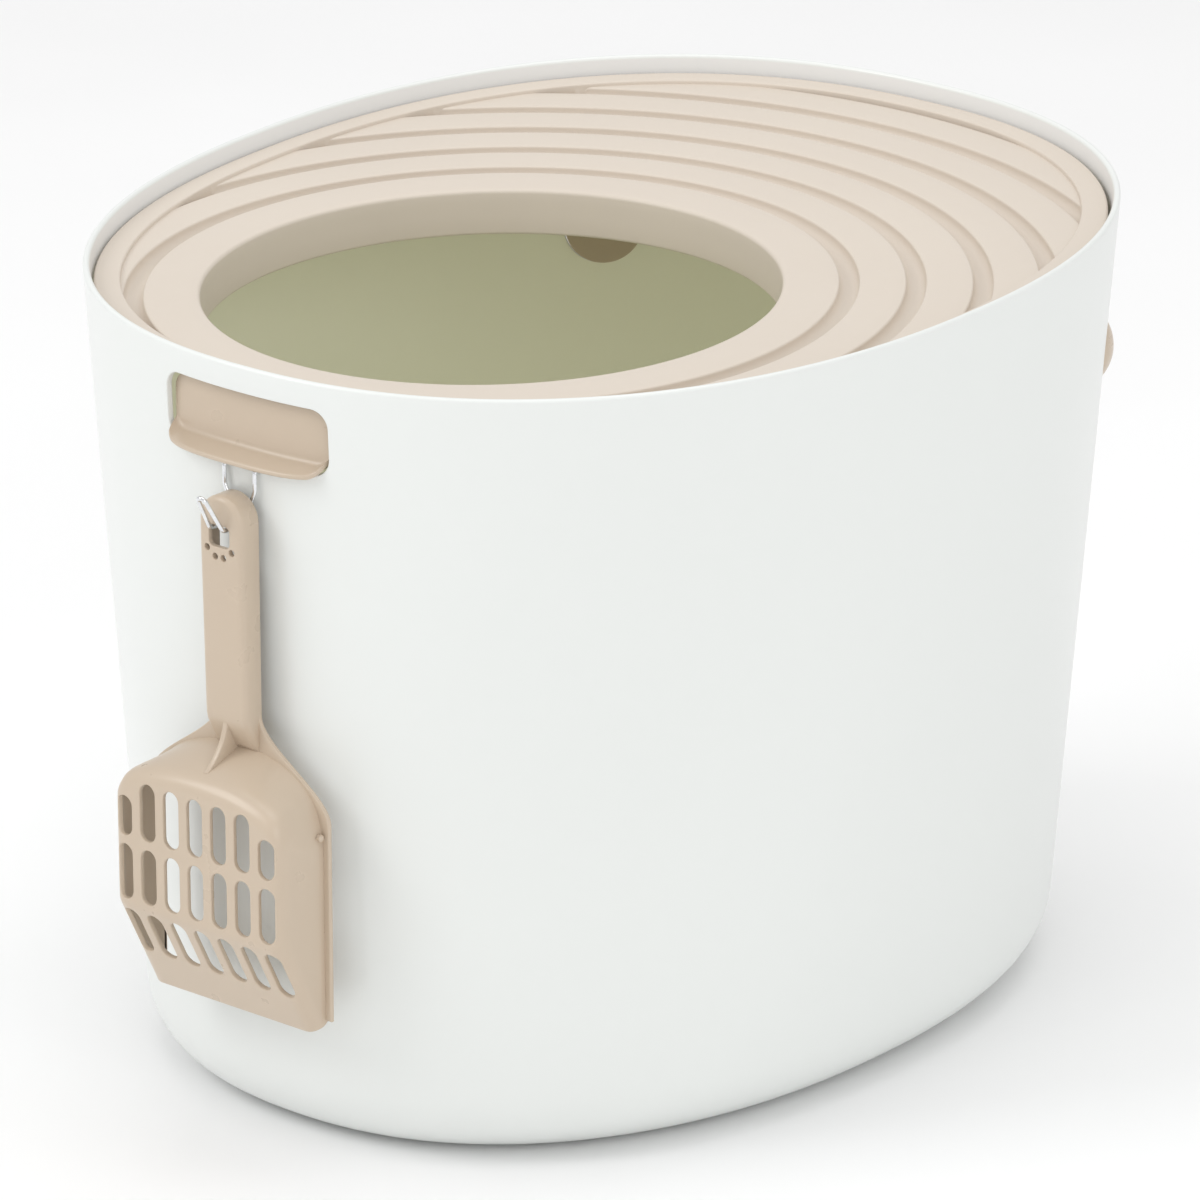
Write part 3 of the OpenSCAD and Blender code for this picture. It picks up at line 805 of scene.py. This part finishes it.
def make_rear_latch(side, direction, material):
    mesh = Mesh()
    pivot = rear_pivot(direction)
    out, along = outward(direction), sideways(direction)
    drop = pivot.z - DOME_HEIGHT
    reach = (facing(DOME_HEIGHT, WALL, direction) - pivot).dot(out)
    root = pivot + out * reach - UP * drop
    lean_out = out * cos(WALL_LEAN) - UP * sin(WALL_LEAN)
    lean_up = UP * cos(WALL_LEAN) + out * sin(WALL_LEAN)

    def place(depth):
        return lambda u, v: root + lean_out * depth + along * u + lean_up * v

    def outline(inset):
        r = ARM_HALF - inset
        points = arc((0, 0), r, 180, 360, 30)
        height = drop + 0.3 - inset
        points += [(r, height * f) for f in (0.25, 0.5, 0.75, 1)]
        points += [(-r, height * f) for f in (1, 0.75, 0.5, 0.25)]
        return points

    plate(mesh, outline, [], place(-ARM_GAP), place(-ARM_GAP - ARM_THICKNESS), 0.6, 0.6, 4.0)
    base = -ARM_GAP - 0.5
    crown = WALL + DOME_REACH
    rise = crown - base
    radius = (DOME_RADIUS ** 2 + rise ** 2) / (2 * rise)
    spread = math.asin(DOME_RADIUS / radius)
    profile = [(0.0, base), (DOME_RADIUS - 0.2, base)]
    profile += arc((0, crown - radius), radius, 90 - 0.985 * math.degrees(spread), 90, 14)
    lathe(mesh, profile, lambda x, y, h: root + lean_out * h + along * x + lean_up * y, 72)
    barrel(mesh, pivot, along, BARREL_WIDTH)
    rows = []
    for width in (-16.4, -16, 16, 16.4):
        inset = 0.4 if abs(width) > 16.2 else 0.0
        low, back = inset - 7.8, inset - 0.9
        rows.append([pivot + along * width + out * x + UP * z
                     for x, z in ((back, -0.2), (3.9, -0.2), (3.9, low), (back, low))])
    mesh.solid(rows)
    node = f"{side}_latch"
    add_piece(f"{node}_arm", mesh, material, node, node)


# ---- hook ----


def bent(points, radii, steps=8):
    """A polyline whose corners are replaced by arcs of the radii given."""
    path = [Vector(points[0])]
    for a, b, c, r in zip(points, points[1:], points[2:], radii):
        a, b, c = Vector(a), Vector(b), Vector(c)
        before, after = (a - b).normalized(), (c - b).normalized()
        angle = before.angle(after)
        cut = r / math.tan(angle / 2)
        centre = b + (before + after).normalized() * (r / sin(angle / 2))
        start, end = b + before * cut - centre, b + after * cut - centre
        sweep = start.angle(end)
        for k in range(steps + 1):
            f = k / steps
            way = start * sin(sweep * (1 - f)) + end * sin(sweep * f)
            path.append(centre + way / sin(sweep))
    path.append(Vector(points[-1]))
    return path


def make_hook(material):
    mesh = Mesh()
    face = -half_length(HOOK_HEIGHT)
    out_y, tail_y = face - 1.7, face + WALL + 3.8
    prong_half, tip_half, length = 3.6, 2.1, 15.0
    saddle_radius, rise, run_z = 3.0, radians(60), PAD_TOP - 1.4
    cut = saddle_radius * math.tan(rise / 2)
    way = Vector((0, -cos(rise), sin(rise)))
    corner = Vector((0, -SCOOP_PLANE - HANDLE_FRONT + 0.66 - cut, run_z))
    end = corner + way * (cut + length)
    half = bent([(HOOK_HALF, tail_y, HOOK_HEIGHT - 9), (HOOK_HALF, tail_y, HOOK_HEIGHT),
                 (HOOK_HALF, out_y, HOOK_HEIGHT), (HOOK_HALF, out_y, 298.5),
                 (prong_half, out_y, 288.5), (prong_half, out_y, run_z), (prong_half, corner.y, run_z),
                 (tip_half, end.y, end.z)],
                (2, 2, 5, 5, 2, saddle_radius))
    tip = [end + way * y + Vector((x, 0, 0)) for x, y in arc((0, 0), tip_half, 15, 165, 10)]
    path = half + tip + [Vector((-p.x, p.y, p.z)) for p in reversed(half)]
    path = [p for k, p in enumerate(path) if k == 0 or (p - path[k - 1]).length > 0.05]
    sides = 20
    rows = []
    frame_up = Vector((1, 0, 0))
    for k, p in enumerate(path):
        along = (path[min(k + 1, len(path) - 1)] - path[max(k - 1, 0)]).normalized()
        frame_up = (frame_up - along * frame_up.dot(along)).normalized()
        side = along.cross(frame_up)
        rows.append([p + frame_up * a + side * b for a, b in disc((0, 0), WIRE_RADIUS, 0, sides)])
    made = mesh.loft(rows)
    mesh.fan(made[0], path[0], True)
    mesh.fan(made[-1], path[-1])
    add_piece("hook_wire", mesh, material, "scoop_hook", "scoop_hook")


# ---- scoop ----

BOWL_WIDTH, BOWL_DEPTH, SKIN = 95.0, 30.5, 2.2
TIP, TIP_DEPTH, TIP_RISE = 66.5, 8.0, 4.5
FACE_LOW, FACE_TOP, BOWL_TOP = 111.0, 168.0, 186.0
EDGE_RADIUS, BEND_RADIUS, SIDE_RADIUS = 10.0, 9.0, 6.5
SHOULDER, SHOULDER_POWER, LIP = 152.0, 2.2, 3.0
SLOT_PITCH, SLOT_WIDTH = 13.4, 8.6


def scoop_place(p):
    """From the scoop's frame, Y away from the wall, to the row frame."""
    return Vector((p[0], -SCOOP_PLANE - p[1], p[2]))


def ease(x):
    x = max(0.0, min(1.0, x))
    return x * x * (3 - 2 * x)


def lowered(x, z, depth):
    """Height after the shoulders are rounded off, more at the rim than at the face."""
    share = min(1.0, abs(x) / (BOWL_WIDTH / 2))
    drop = (BOWL_TOP - SHOULDER) * (1 - (1 - share ** SHOULDER_POWER) ** (1 / SHOULDER_POWER))
    drop *= 1 - 0.5 * ease(depth / 26)
    return z - drop * ease((z - FACE_LOW - 4) / (BOWL_TOP - FACE_LOW - 4))


def before_lowering(x, z):
    """Height on the square bowl's face that lowered() brings to z."""
    return bisect(z, BOWL_TOP, lambda height: lowered(x, height, BOWL_DEPTH) < z)


def bowl_path():
    """Dense ((depth, height), normal) points of the bowl's outer profile, with arc lengths."""
    slope = math.atan2(FACE_LOW - TIP, BOWL_DEPTH - TIP_DEPTH)
    turn = pi / 2 - slope
    cut = BEND_RADIUS * math.tan(turn / 2)
    path = []

    def line(a, b, normal):
        steps = max(1, round(math.dist(a, b) / 2))
        for k in range(steps):
            path.append((mix(a, b, k / steps), normal))

    def turn_about(centre, radius, start, end):
        for normal in arc((0, 0), 1, math.degrees(start), math.degrees(end), 8)[:-1]:
            path.append(((centre[0] + radius * normal[0], centre[1] + radius * normal[1]), normal))

    under = (sin(slope), -cos(slope))
    bend_start = (BOWL_DEPTH - cut * cos(slope), FACE_LOW - cut * sin(slope))
    line((TIP_DEPTH, TIP), bend_start, under)
    turn_about((BOWL_DEPTH - BEND_RADIUS, FACE_LOW + cut), BEND_RADIUS, slope - pi / 2, 0)
    line((BOWL_DEPTH, FACE_LOW + cut), (BOWL_DEPTH, FACE_TOP), (1, 0))
    crown = (BOWL_DEPTH - EDGE_RADIUS, FACE_TOP)
    fall = math.atan2(BOWL_TOP - FACE_TOP - EDGE_RADIUS, BOWL_DEPTH - EDGE_RADIUS)
    turn_about(crown, EDGE_RADIUS, 0, pi / 2 - fall)
    top = (crown[0] + EDGE_RADIUS * sin(fall), crown[1] + EDGE_RADIUS * cos(fall))
    line(top, (0.0, BOWL_TOP), (sin(fall), cos(fall)))
    path.append(((0.0, BOWL_TOP), (sin(fall), cos(fall))))
    lengths = [0.0]
    for (a, _), (b, _) in zip(path, path[1:]):
        lengths.append(lengths[-1] + math.dist(a, b))
    return path, lengths


BOWL_PATH, BOWL_LENGTHS = bowl_path()


def bowl_at(s):
    """Point and outward normal of the bowl's profile at an arc length."""
    for k in range(len(BOWL_LENGTHS) - 1):
        if s <= BOWL_LENGTHS[k + 1] or k == len(BOWL_LENGTHS) - 2:
            span = BOWL_LENGTHS[k + 1] - BOWL_LENGTHS[k]
            f = (s - BOWL_LENGTHS[k]) / span
            (a, na), (b, nb) = BOWL_PATH[k], BOWL_PATH[k + 1]
            return mix(a, b, f), Vector(mix(na, nb, f)).normalized()


def bowl_s(z):
    """Arc length at which the bowl's upright face has a height."""
    return bisect(0.0, BOWL_LENGTHS[-1], lambda s: bowl_at(s)[0][1] < z)


SIDE_SPAN = SIDE_RADIUS * pi / 2 + BOWL_DEPTH - SIDE_RADIUS
FLAT_HALF = BOWL_WIDTH / 2 - SIDE_RADIUS
TRUE_SPAN = 9.0


def bowl_surface(u, s, depth):
    """u runs across the face and down the side walls to the rim; s runs up the profile."""
    p = square_bowl(u, s, depth)
    return Vector((p.x, p.y, lowered(p.x, p.z, p.y)))


def square_bowl(u, s, depth):
    """The bowl before its shoulders are rounded off."""
    (d, z), normal = bowl_at(s)
    radius = max(0.4, min(SIDE_RADIUS, 0.75 * d + 0.2)) if z < FACE_LOW else SIDE_RADIUS
    sign = 1 if u >= 0 else -1
    over = abs(u) - FLAT_HALF
    inner = max(radius - depth, 0.05)
    if z <= FACE_TOP:
        rise = TIP_RISE * (FACE_LOW - z) / (FACE_LOW - TIP)
        rim_z_here = z + rise if z < FACE_LOW else FACE_LOW + (z - FACE_LOW) * 0.9
    else:
        rim_low = FACE_LOW + (FACE_TOP - FACE_LOW) * 0.9
        top_s = bowl_s(FACE_TOP)
        share = (s - top_s) / (BOWL_LENGTHS[-1] - top_s)
        rim_z_here = rim_low + (BOWL_TOP - SIDE_RADIUS - rim_low) * share
    centre = (d - normal[0] * radius, z - normal[1] * radius)
    side = math.dist(centre, (0, rim_z_here))
    length = (SIDE_RADIUS - radius) + radius * pi / 2 + side
    if over > TRUE_SPAN:
        near = min(TRUE_SPAN, length * 0.6)
        over = near + (over - TRUE_SPAN) / (SIDE_SPAN - TRUE_SPAN) * (length - near)
    elif over > 0:
        over = over * min(1.0, length * 0.6 / TRUE_SPAN)
    flat = SIDE_RADIUS - radius
    if over <= flat:
        point = (d - normal[0] * depth, z - normal[1] * depth)
        x = FLAT_HALF + over
        return Vector((sign * x if over > 0 else u, point[0], point[1]))
    q = (over - flat) / radius
    if q <= pi / 2:
        out, across = polar(inner, q)
        x = BOWL_WIDTH / 2 - radius + across
        return Vector((sign * x, centre[0] + normal[0] * out, centre[1] + normal[1] * out))
    f = (over - flat - radius * pi / 2) / max(side, 1e-6)
    x = BOWL_WIDTH / 2 - radius + inner
    return Vector((sign * x, centre[0] * (1 - f), centre[1] + (rim_z_here - centre[1]) * f))


def slot_holes():
    holes = []

    def slot(column, low, high, upright=False):
        centre = (column * SLOT_PITCH, (low + high) / 2)

        def outline(widen):
            points = stadium(centre, SLOT_WIDTH, high - low, widen)
            return [(x, bowl_s(before_lowering(x, z))) for x, z in points] if upright else points

        return outline

    for column in range(-3, 4):
        holes.append(slot(column, 142, 160 if abs(column) == 3 else 168, True))
        holes.append(slot(column, 113, 138, True))
        holes.append(slot(column, 20, 46))
    return holes


def make_bowl(mesh):
    count = 40
    us = [(FLAT_HALF + SIDE_SPAN) * (i / count - 1) for i in range(2 * count + 1)]
    rows = 76
    vs = [BOWL_LENGTHS[-1] * k / rows for k in range(rows + 1)]
    outer, inner = shell_with_holes(mesh, bowl_surface, us, vs, slot_holes(), SKIN, 0.5)

    def border(grid):
        ring = [column[0] for column in grid] + grid[-1][1:]
        return ring + [column[-1] for column in reversed(grid[:-1])] + list(reversed(grid[0][1:-1]))

    mesh.strip(border(inner), border(outer))


HANDLE_HALF, HANDLE_TOP, HANDLE_FOOT, HANDLE_SKIN = 12.0, 298.0, 184.0, 2.0


def handle_outline(inset):
    r = HANDLE_HALF - inset
    top = HANDLE_TOP - HANDLE_HALF
    points = arc((0, top), r, 0, 180, 30)
    levels = 36
    foot = HANDLE_FOOT + inset
    points += [(-r, top + (foot - top) * k / levels) for k in range(1, levels + 1)]
    points += [(r * (k / 4 - 1), foot) for k in range(1, 8)]
    points += [(r, foot + (top - foot) * k / levels) for k in range(levels)]
    return points


def handle_depth(v):
    full = HANDLE_WAIST + (HANDLE_FRONT - HANDLE_WAIST) * max(0.0, min(1.0, (v - 199) / 77))
    return full - 7.2 * (1 - ease((v - HANDLE_FOOT + 4) / 20))


def handle_face(u, v):
    return Vector((u, handle_depth(v) - 0.7 * (u / HANDLE_HALF) ** 2, v))


def handle_inside(u, v):
    return Vector((u, handle_depth(v) - 0.7 - HANDLE_SKIN, v))


def make_handle(mesh):
    pad_height = 9.6
    middle = PAD_TOP - pad_height / 2

    def pad(widen):
        outline = rounded_rectangle(11.5 + 2 * widen, pad_height + 2 * widen, 2.5 + widen)
        return [(x, middle + z) for x, z in outline]

    holes = [pad]
    for centre in ((-6.8, 274.4), (-2.3, 271.2), (2.3, 271.2), (6.8, 274.4)):
        holes.append(lambda widen, centre=centre: disc(centre, 1.5, widen * 0.5, 18))
    plate(mesh, handle_outline, holes, handle_face, handle_inside, 2.6, 0.3, 2.2, skirt=HANDLE_SKIN)


def neck_half(z):
    return HANDLE_HALF + (BOWL_WIDTH / 2 + LIP - HANDLE_HALF) * ease((200 - z) / 40)


def neck_outline(inset):
    """Half of it runs down the outside to the tip, then up the inside to the crown."""
    levels, top, foot = 60, 202.0, TIP + TIP_RISE
    right = []
    for k in range(levels + 1):
        z = top - (top - foot) * k / levels
        shift = -inset if k == 0 else inset if k == levels else 0
        right.append((neck_half(z) - inset, z + shift))
    half, straight, arch = BOWL_WIDTH / 2 - SKIN, 36, 24
    for k in range(straight):
        z = foot + (SHOULDER - foot) * k / straight
        right.append((half + inset, z + (inset if k == 0 else 0)))
    for k in range(arch):
        q = radians(90 * k / arch)
        x = half * cos(q) ** (2 / SHOULDER_POWER)
        z = SHOULDER + (BOWL_TOP - SKIN - SHOULDER) * sin(q) ** (2 / SHOULDER_POWER)
        right.append((x + inset, z + inset * k / arch))
    return right + [(0.0, BOWL_TOP - SKIN + inset)] + [(-x, z) for x, z in reversed(right)]


def make_neck(mesh):
    plate(mesh, neck_outline, [], lambda u, v: Vector((u, SKIN, v)), lambda u, v: Vector((u, 0.0, v)),
          0.7, 0.5, 3.0, steps=3)


def make_nubs(mesh):
    """Small buttons on the bowl's side walls."""
    for side in (-1, 1):
        profile = [(0, -0.6), (1.6, -0.6), (1.6, 0.9), (1.2, 1.35), (0, 1.5)]
        lathe(mesh, profile, lambda x, y, h: Vector((side * (BOWL_WIDTH / 2 + h), 4.5 + x, 155 + y)), 24)


def make_gusset(mesh):
    """Curved rib between the handle and the bowl."""
    curve = []
    for k in range(13):
        f = k / 12
        start, control, end = Vector((9.4, 200)), Vector((11.5, 185)), Vector((23, 177.9))
        curve.append(start * (1 - f) ** 2 + control * (2 * f * (1 - f)) + end * f * f)
    shape = [(p.x, p.y) for p in curve] + [(20, 176.8), (12, 180), (3, 183.5), (3, 198)]
    rows = []
    for x, inset in ((-1.3, 0.45), (-1.15, 0.15), (-0.85, 0), (0.85, 0), (1.15, 0.15), (1.3, 0.45)):
        pulls = [inset * 0.7 if k < len(curve) else 0 for k in range(len(shape))]
        rows.append([Vector((x, d - pull, z - pull)) for (d, z), pull in zip(shape, pulls)])
    mesh.solid(rows)


def make_scoop(material):
    bowl, handle = Mesh(), Mesh()
    make_bowl(bowl)
    make_neck(handle)
    make_handle(handle)
    make_gusset(handle)
    make_nubs(bowl)
    add_piece("scoop_bowl", bowl, material, "scoop", "scoop", place=scoop_place)
    add_piece("scoop_handle", handle, material, "scoop", None, place=scoop_place)


# ---- materials ----


class Nodes:
    """Short way to make and link shader nodes."""

    def __init__(self, name):
        self.material = bpy.data.materials.new(name)
        self.material.use_nodes = True
        self.tree = self.material.node_tree
        self.shader = self.tree.nodes["Principled BSDF"]
        self.place = self.make("ShaderNodeTexCoord").outputs["Object"]

    def make(self, kind, **settings):
        node = self.tree.nodes.new(kind)
        for key, value in settings.items():
            setattr(node, key, value)
        return node

    def link(self, source, target):
        self.tree.links.new(source, target)

    def noise(self, scale, detail):
        node = self.make("ShaderNodeTexNoise")
        node.inputs["Scale"].default_value = scale
        node.inputs["Detail"].default_value = detail
        self.link(self.place, node.inputs["Vector"])
        return node.outputs["Fac"]

    def ramp(self, value, low, high, to_low=0.0, to_high=1.0):
        node = self.make("ShaderNodeMapRange")
        self.link(value, node.inputs["Value"])
        for key, number in (("From Min", low), ("From Max", high),
                            ("To Min", to_low), ("To Max", to_high)):
            node.inputs[key].default_value = number
        return node.outputs["Result"]

    def blend(self, factor, a, b):
        node = self.make("ShaderNodeMix", data_type="RGBA")
        self.link(factor, node.inputs["Factor"])
        for socket, value in ((node.inputs["A"], a), (node.inputs["B"], b)):
            if isinstance(value, tuple):
                socket.default_value = (*value, 1)
            else:
                self.link(value, socket)
        return node.outputs["Result"]

    def bump(self, height, strength, distance):
        node = self.make("ShaderNodeBump")
        node.inputs["Strength"].default_value = strength
        node.inputs["Distance"].default_value = distance
        self.link(height, node.inputs["Height"])
        self.link(node.outputs["Normal"], self.shader.inputs["Normal"])


# Painted light inside the tub, below the lid: a greenish beige tint stands in for the shade there and for
# light bounced off the beige lid, and a faint glow stands in for light coming through the thin wall
PAINTED_LIGHT_TINT = (0.82, 0.82, 0.68)
PAINTED_GLOW_COLOUR, PAINTED_GLOW_STRENGTH = (1.0, 1.0, 0.72), 0.085


def moulded_plastic(name, light, dark, rough_low, rough_high, texture, coat=0.0, painted_glow=False):
    """Injection-moulded plastic: faint flow clouds, spark-eroded grain, uneven gloss. With painted_glow,
    painted light is added below the lid: a greenish beige tint and a faint glow.
    """
    nodes = Nodes(name)
    cloud = nodes.ramp(nodes.noise(9.0, 2.0), 0.3, 0.7)
    colour = nodes.blend(cloud, dark, light)
    speck = nodes.ramp(nodes.noise(900.0, 2.0), 0.66, 0.80, 0.0, 0.025)
    colour = nodes.blend(speck, colour, tuple(c * 0.85 for c in dark))
    sockets = nodes.shader.inputs
    # Painted light: below the lid the colour turns to a greenish beige tint and the surface glows faintly,
    # standing in for shade and for light through the wall and off the lid
    if painted_glow:
        painted_light_mask = painted_light_below_lid(nodes)
        colour = nodes.blend(painted_light_mask, colour, PAINTED_LIGHT_TINT)
        nodes.link(nodes.blend(painted_light_mask, (0, 0, 0), PAINTED_GLOW_COLOUR), sockets["Emission Color"])
        sockets["Emission Strength"].default_value = PAINTED_GLOW_STRENGTH
    nodes.link(colour, sockets["Base Color"])
    nodes.link(nodes.ramp(nodes.noise(60.0, 4.0), 0.3, 0.7, rough_low, rough_high), sockets["Roughness"])
    sockets["IOR"].default_value = 1.5
    sockets["Coat Weight"].default_value = coat
    sockets["Coat Roughness"].default_value = 0.12
    nodes.bump(nodes.noise(1100.0, 2.0), texture, 0.00006)
    return nodes.material


def painted_light_below_lid(nodes):
    """Mask of the painted light inside the tub: 1 below the lid, fading to 0 at the rim above it."""
    split = nodes.make("ShaderNodeSeparateXYZ")
    nodes.link(nodes.place, split.inputs["Vector"])
    return nodes.ramp(split.outputs["Z"], 0.325, 0.340, 1.0, 0.0)


def polished_wire(name):
    """Bright wire with a fine grain and slightly duller patches."""
    nodes = Nodes(name)
    sockets = nodes.shader.inputs
    sockets["Metallic"].default_value = 1.0
    cloud = nodes.ramp(nodes.noise(260.0, 3.0), 0.35, 0.7)
    nodes.link(nodes.blend(cloud, (0.74, 0.75, 0.77), (0.86, 0.87, 0.88)), sockets["Base Color"])
    nodes.link(nodes.ramp(nodes.noise(1400.0, 3.0), 0.3, 0.7, 0.06, 0.18), sockets["Roughness"])
    nodes.bump(nodes.noise(3800.0, 2.0), 0.12, 0.00002)
    return nodes.material


def backdrop(name):
    """Matt, nearly even pale paper."""
    nodes = Nodes(name)
    tone = nodes.ramp(nodes.noise(3.0, 2.0), 0.3, 0.7)
    sockets = nodes.shader.inputs
    nodes.link(nodes.blend(tone, (0.93, 0.93, 0.93), (0.95, 0.95, 0.95)), sockets["Base Color"])
    sockets["Roughness"].default_value = 0.9
    return nodes.material


# ---- stage ----


def make_stage():
    """A plain pale sweep: floor, a large curve, and a wall far behind."""
    half, bend, high, bend_start, below = 9.0, 2.0, 9.0, 6.0, 0.0005
    profile = [(-half, 0.0)] + arc((bend_start, bend), bend, -90, 0, 15) + [(bend_start + bend, high)]
    data = bpy.data.meshes.new("floor")
    points, faces = [], []
    for y, z in profile:
        points += [(-half, y, z - below), (half, y, z - below)]
    for k in range(len(profile) - 1):
        faces.append((2 * k, 2 * k + 1, 2 * k + 3, 2 * k + 2))
    data.from_pydata(points, [], faces)
    data.shade_smooth()
    data.materials.append(backdrop("pale_floor"))
    floor = linked("floor", data)
    floor.rotation_euler = (0, 0, VIEW_AZIMUTH)


def area_light(name, place, target, size, power):
    light = bpy.data.lights.new(name, "AREA")
    light.shape = "RECTANGLE"
    light.size, light.size_y = size
    light.energy = power
    lamp = linked(name, light)
    lamp.location = place
    lamp.rotation_euler = (Vector(target) - Vector(place)).to_track_quat("-Z", "Y").to_euler()


def make_lights():
    world = bpy.data.worlds.new("studio")
    world.use_nodes = True
    background = world.node_tree.nodes["Background"].inputs
    background["Color"].default_value = (1, 1, 1, 1)
    background["Strength"].default_value = 0.75
    bpy.context.scene.world = world
    area_light("key", (-1.6, -2.2, 2.4), (0, 0, 0.2), (1.6, 1.6), 28)
    area_light("fill", (2.6, -1.4, 1.4), (0, 0, 0.2), (2.0, 2.0), 14)
    area_light("top", (0.2, 0.2, 3.0), (0, 0, 0.3), (2.4, 2.4), 22)


def make_camera():
    azimuth, elevation, distance = VIEW_AZIMUTH, radians(20.3), 3.546
    target = Vector((0.0061, 0.0, 0.1826))
    data = bpy.data.cameras.new("camera")
    data.sensor_width = 36.0
    data.lens = 240.3
    data.shift_x = -0.0111
    data.clip_end = 60
    camera = linked("camera", data)
    level, rise = polar(distance, elevation)
    camera.location = target + Vector((sin(azimuth) * level, -cos(azimuth) * level, rise))
    camera.rotation_euler = (pi / 2 - elevation, 0, azimuth)
    bpy.context.scene.camera = camera


bpy.context.scene.view_settings.view_transform = "Standard"
make_camera()
make_stage()
make_lights()

white = moulded_plastic("white_gloss_plastic", (0.80, 0.82, 0.80), (0.795, 0.815, 0.795),
                        0.28, 0.31, 0.02, coat=0.15)
# Inside faces of the tub: the same white plastic with painted light below the lid (a greenish beige tint
# and a faint glow)
inner_painted_light = moulded_plastic("inner_painted_light_plastic", (0.80, 0.80, 0.79), (0.795, 0.795, 0.785),
                              0.3, 0.36, 0.02, painted_glow=True)
beige = moulded_plastic("beige_satin_plastic", (0.68, 0.605, 0.52), (0.665, 0.59, 0.507),
                        0.42, 0.50, 0.05)
tan = moulded_plastic("tan_satin_plastic", (0.58, 0.475, 0.365), (0.565, 0.462, 0.355),
                      0.27, 0.31, 0.02, coat=0.1)
chrome = polished_wire("chrome_wire")

make_tub([white, inner_painted_light])
make_rests(white)
make_lid(beige)
make_lugs(beige)
make_front_latch(tan)
make_rear_latch("left", pi - LATCH_ANGLE, tan)
make_rear_latch("right", LATCH_ANGLE, tan)
make_hook(chrome)
make_scoop(tan)
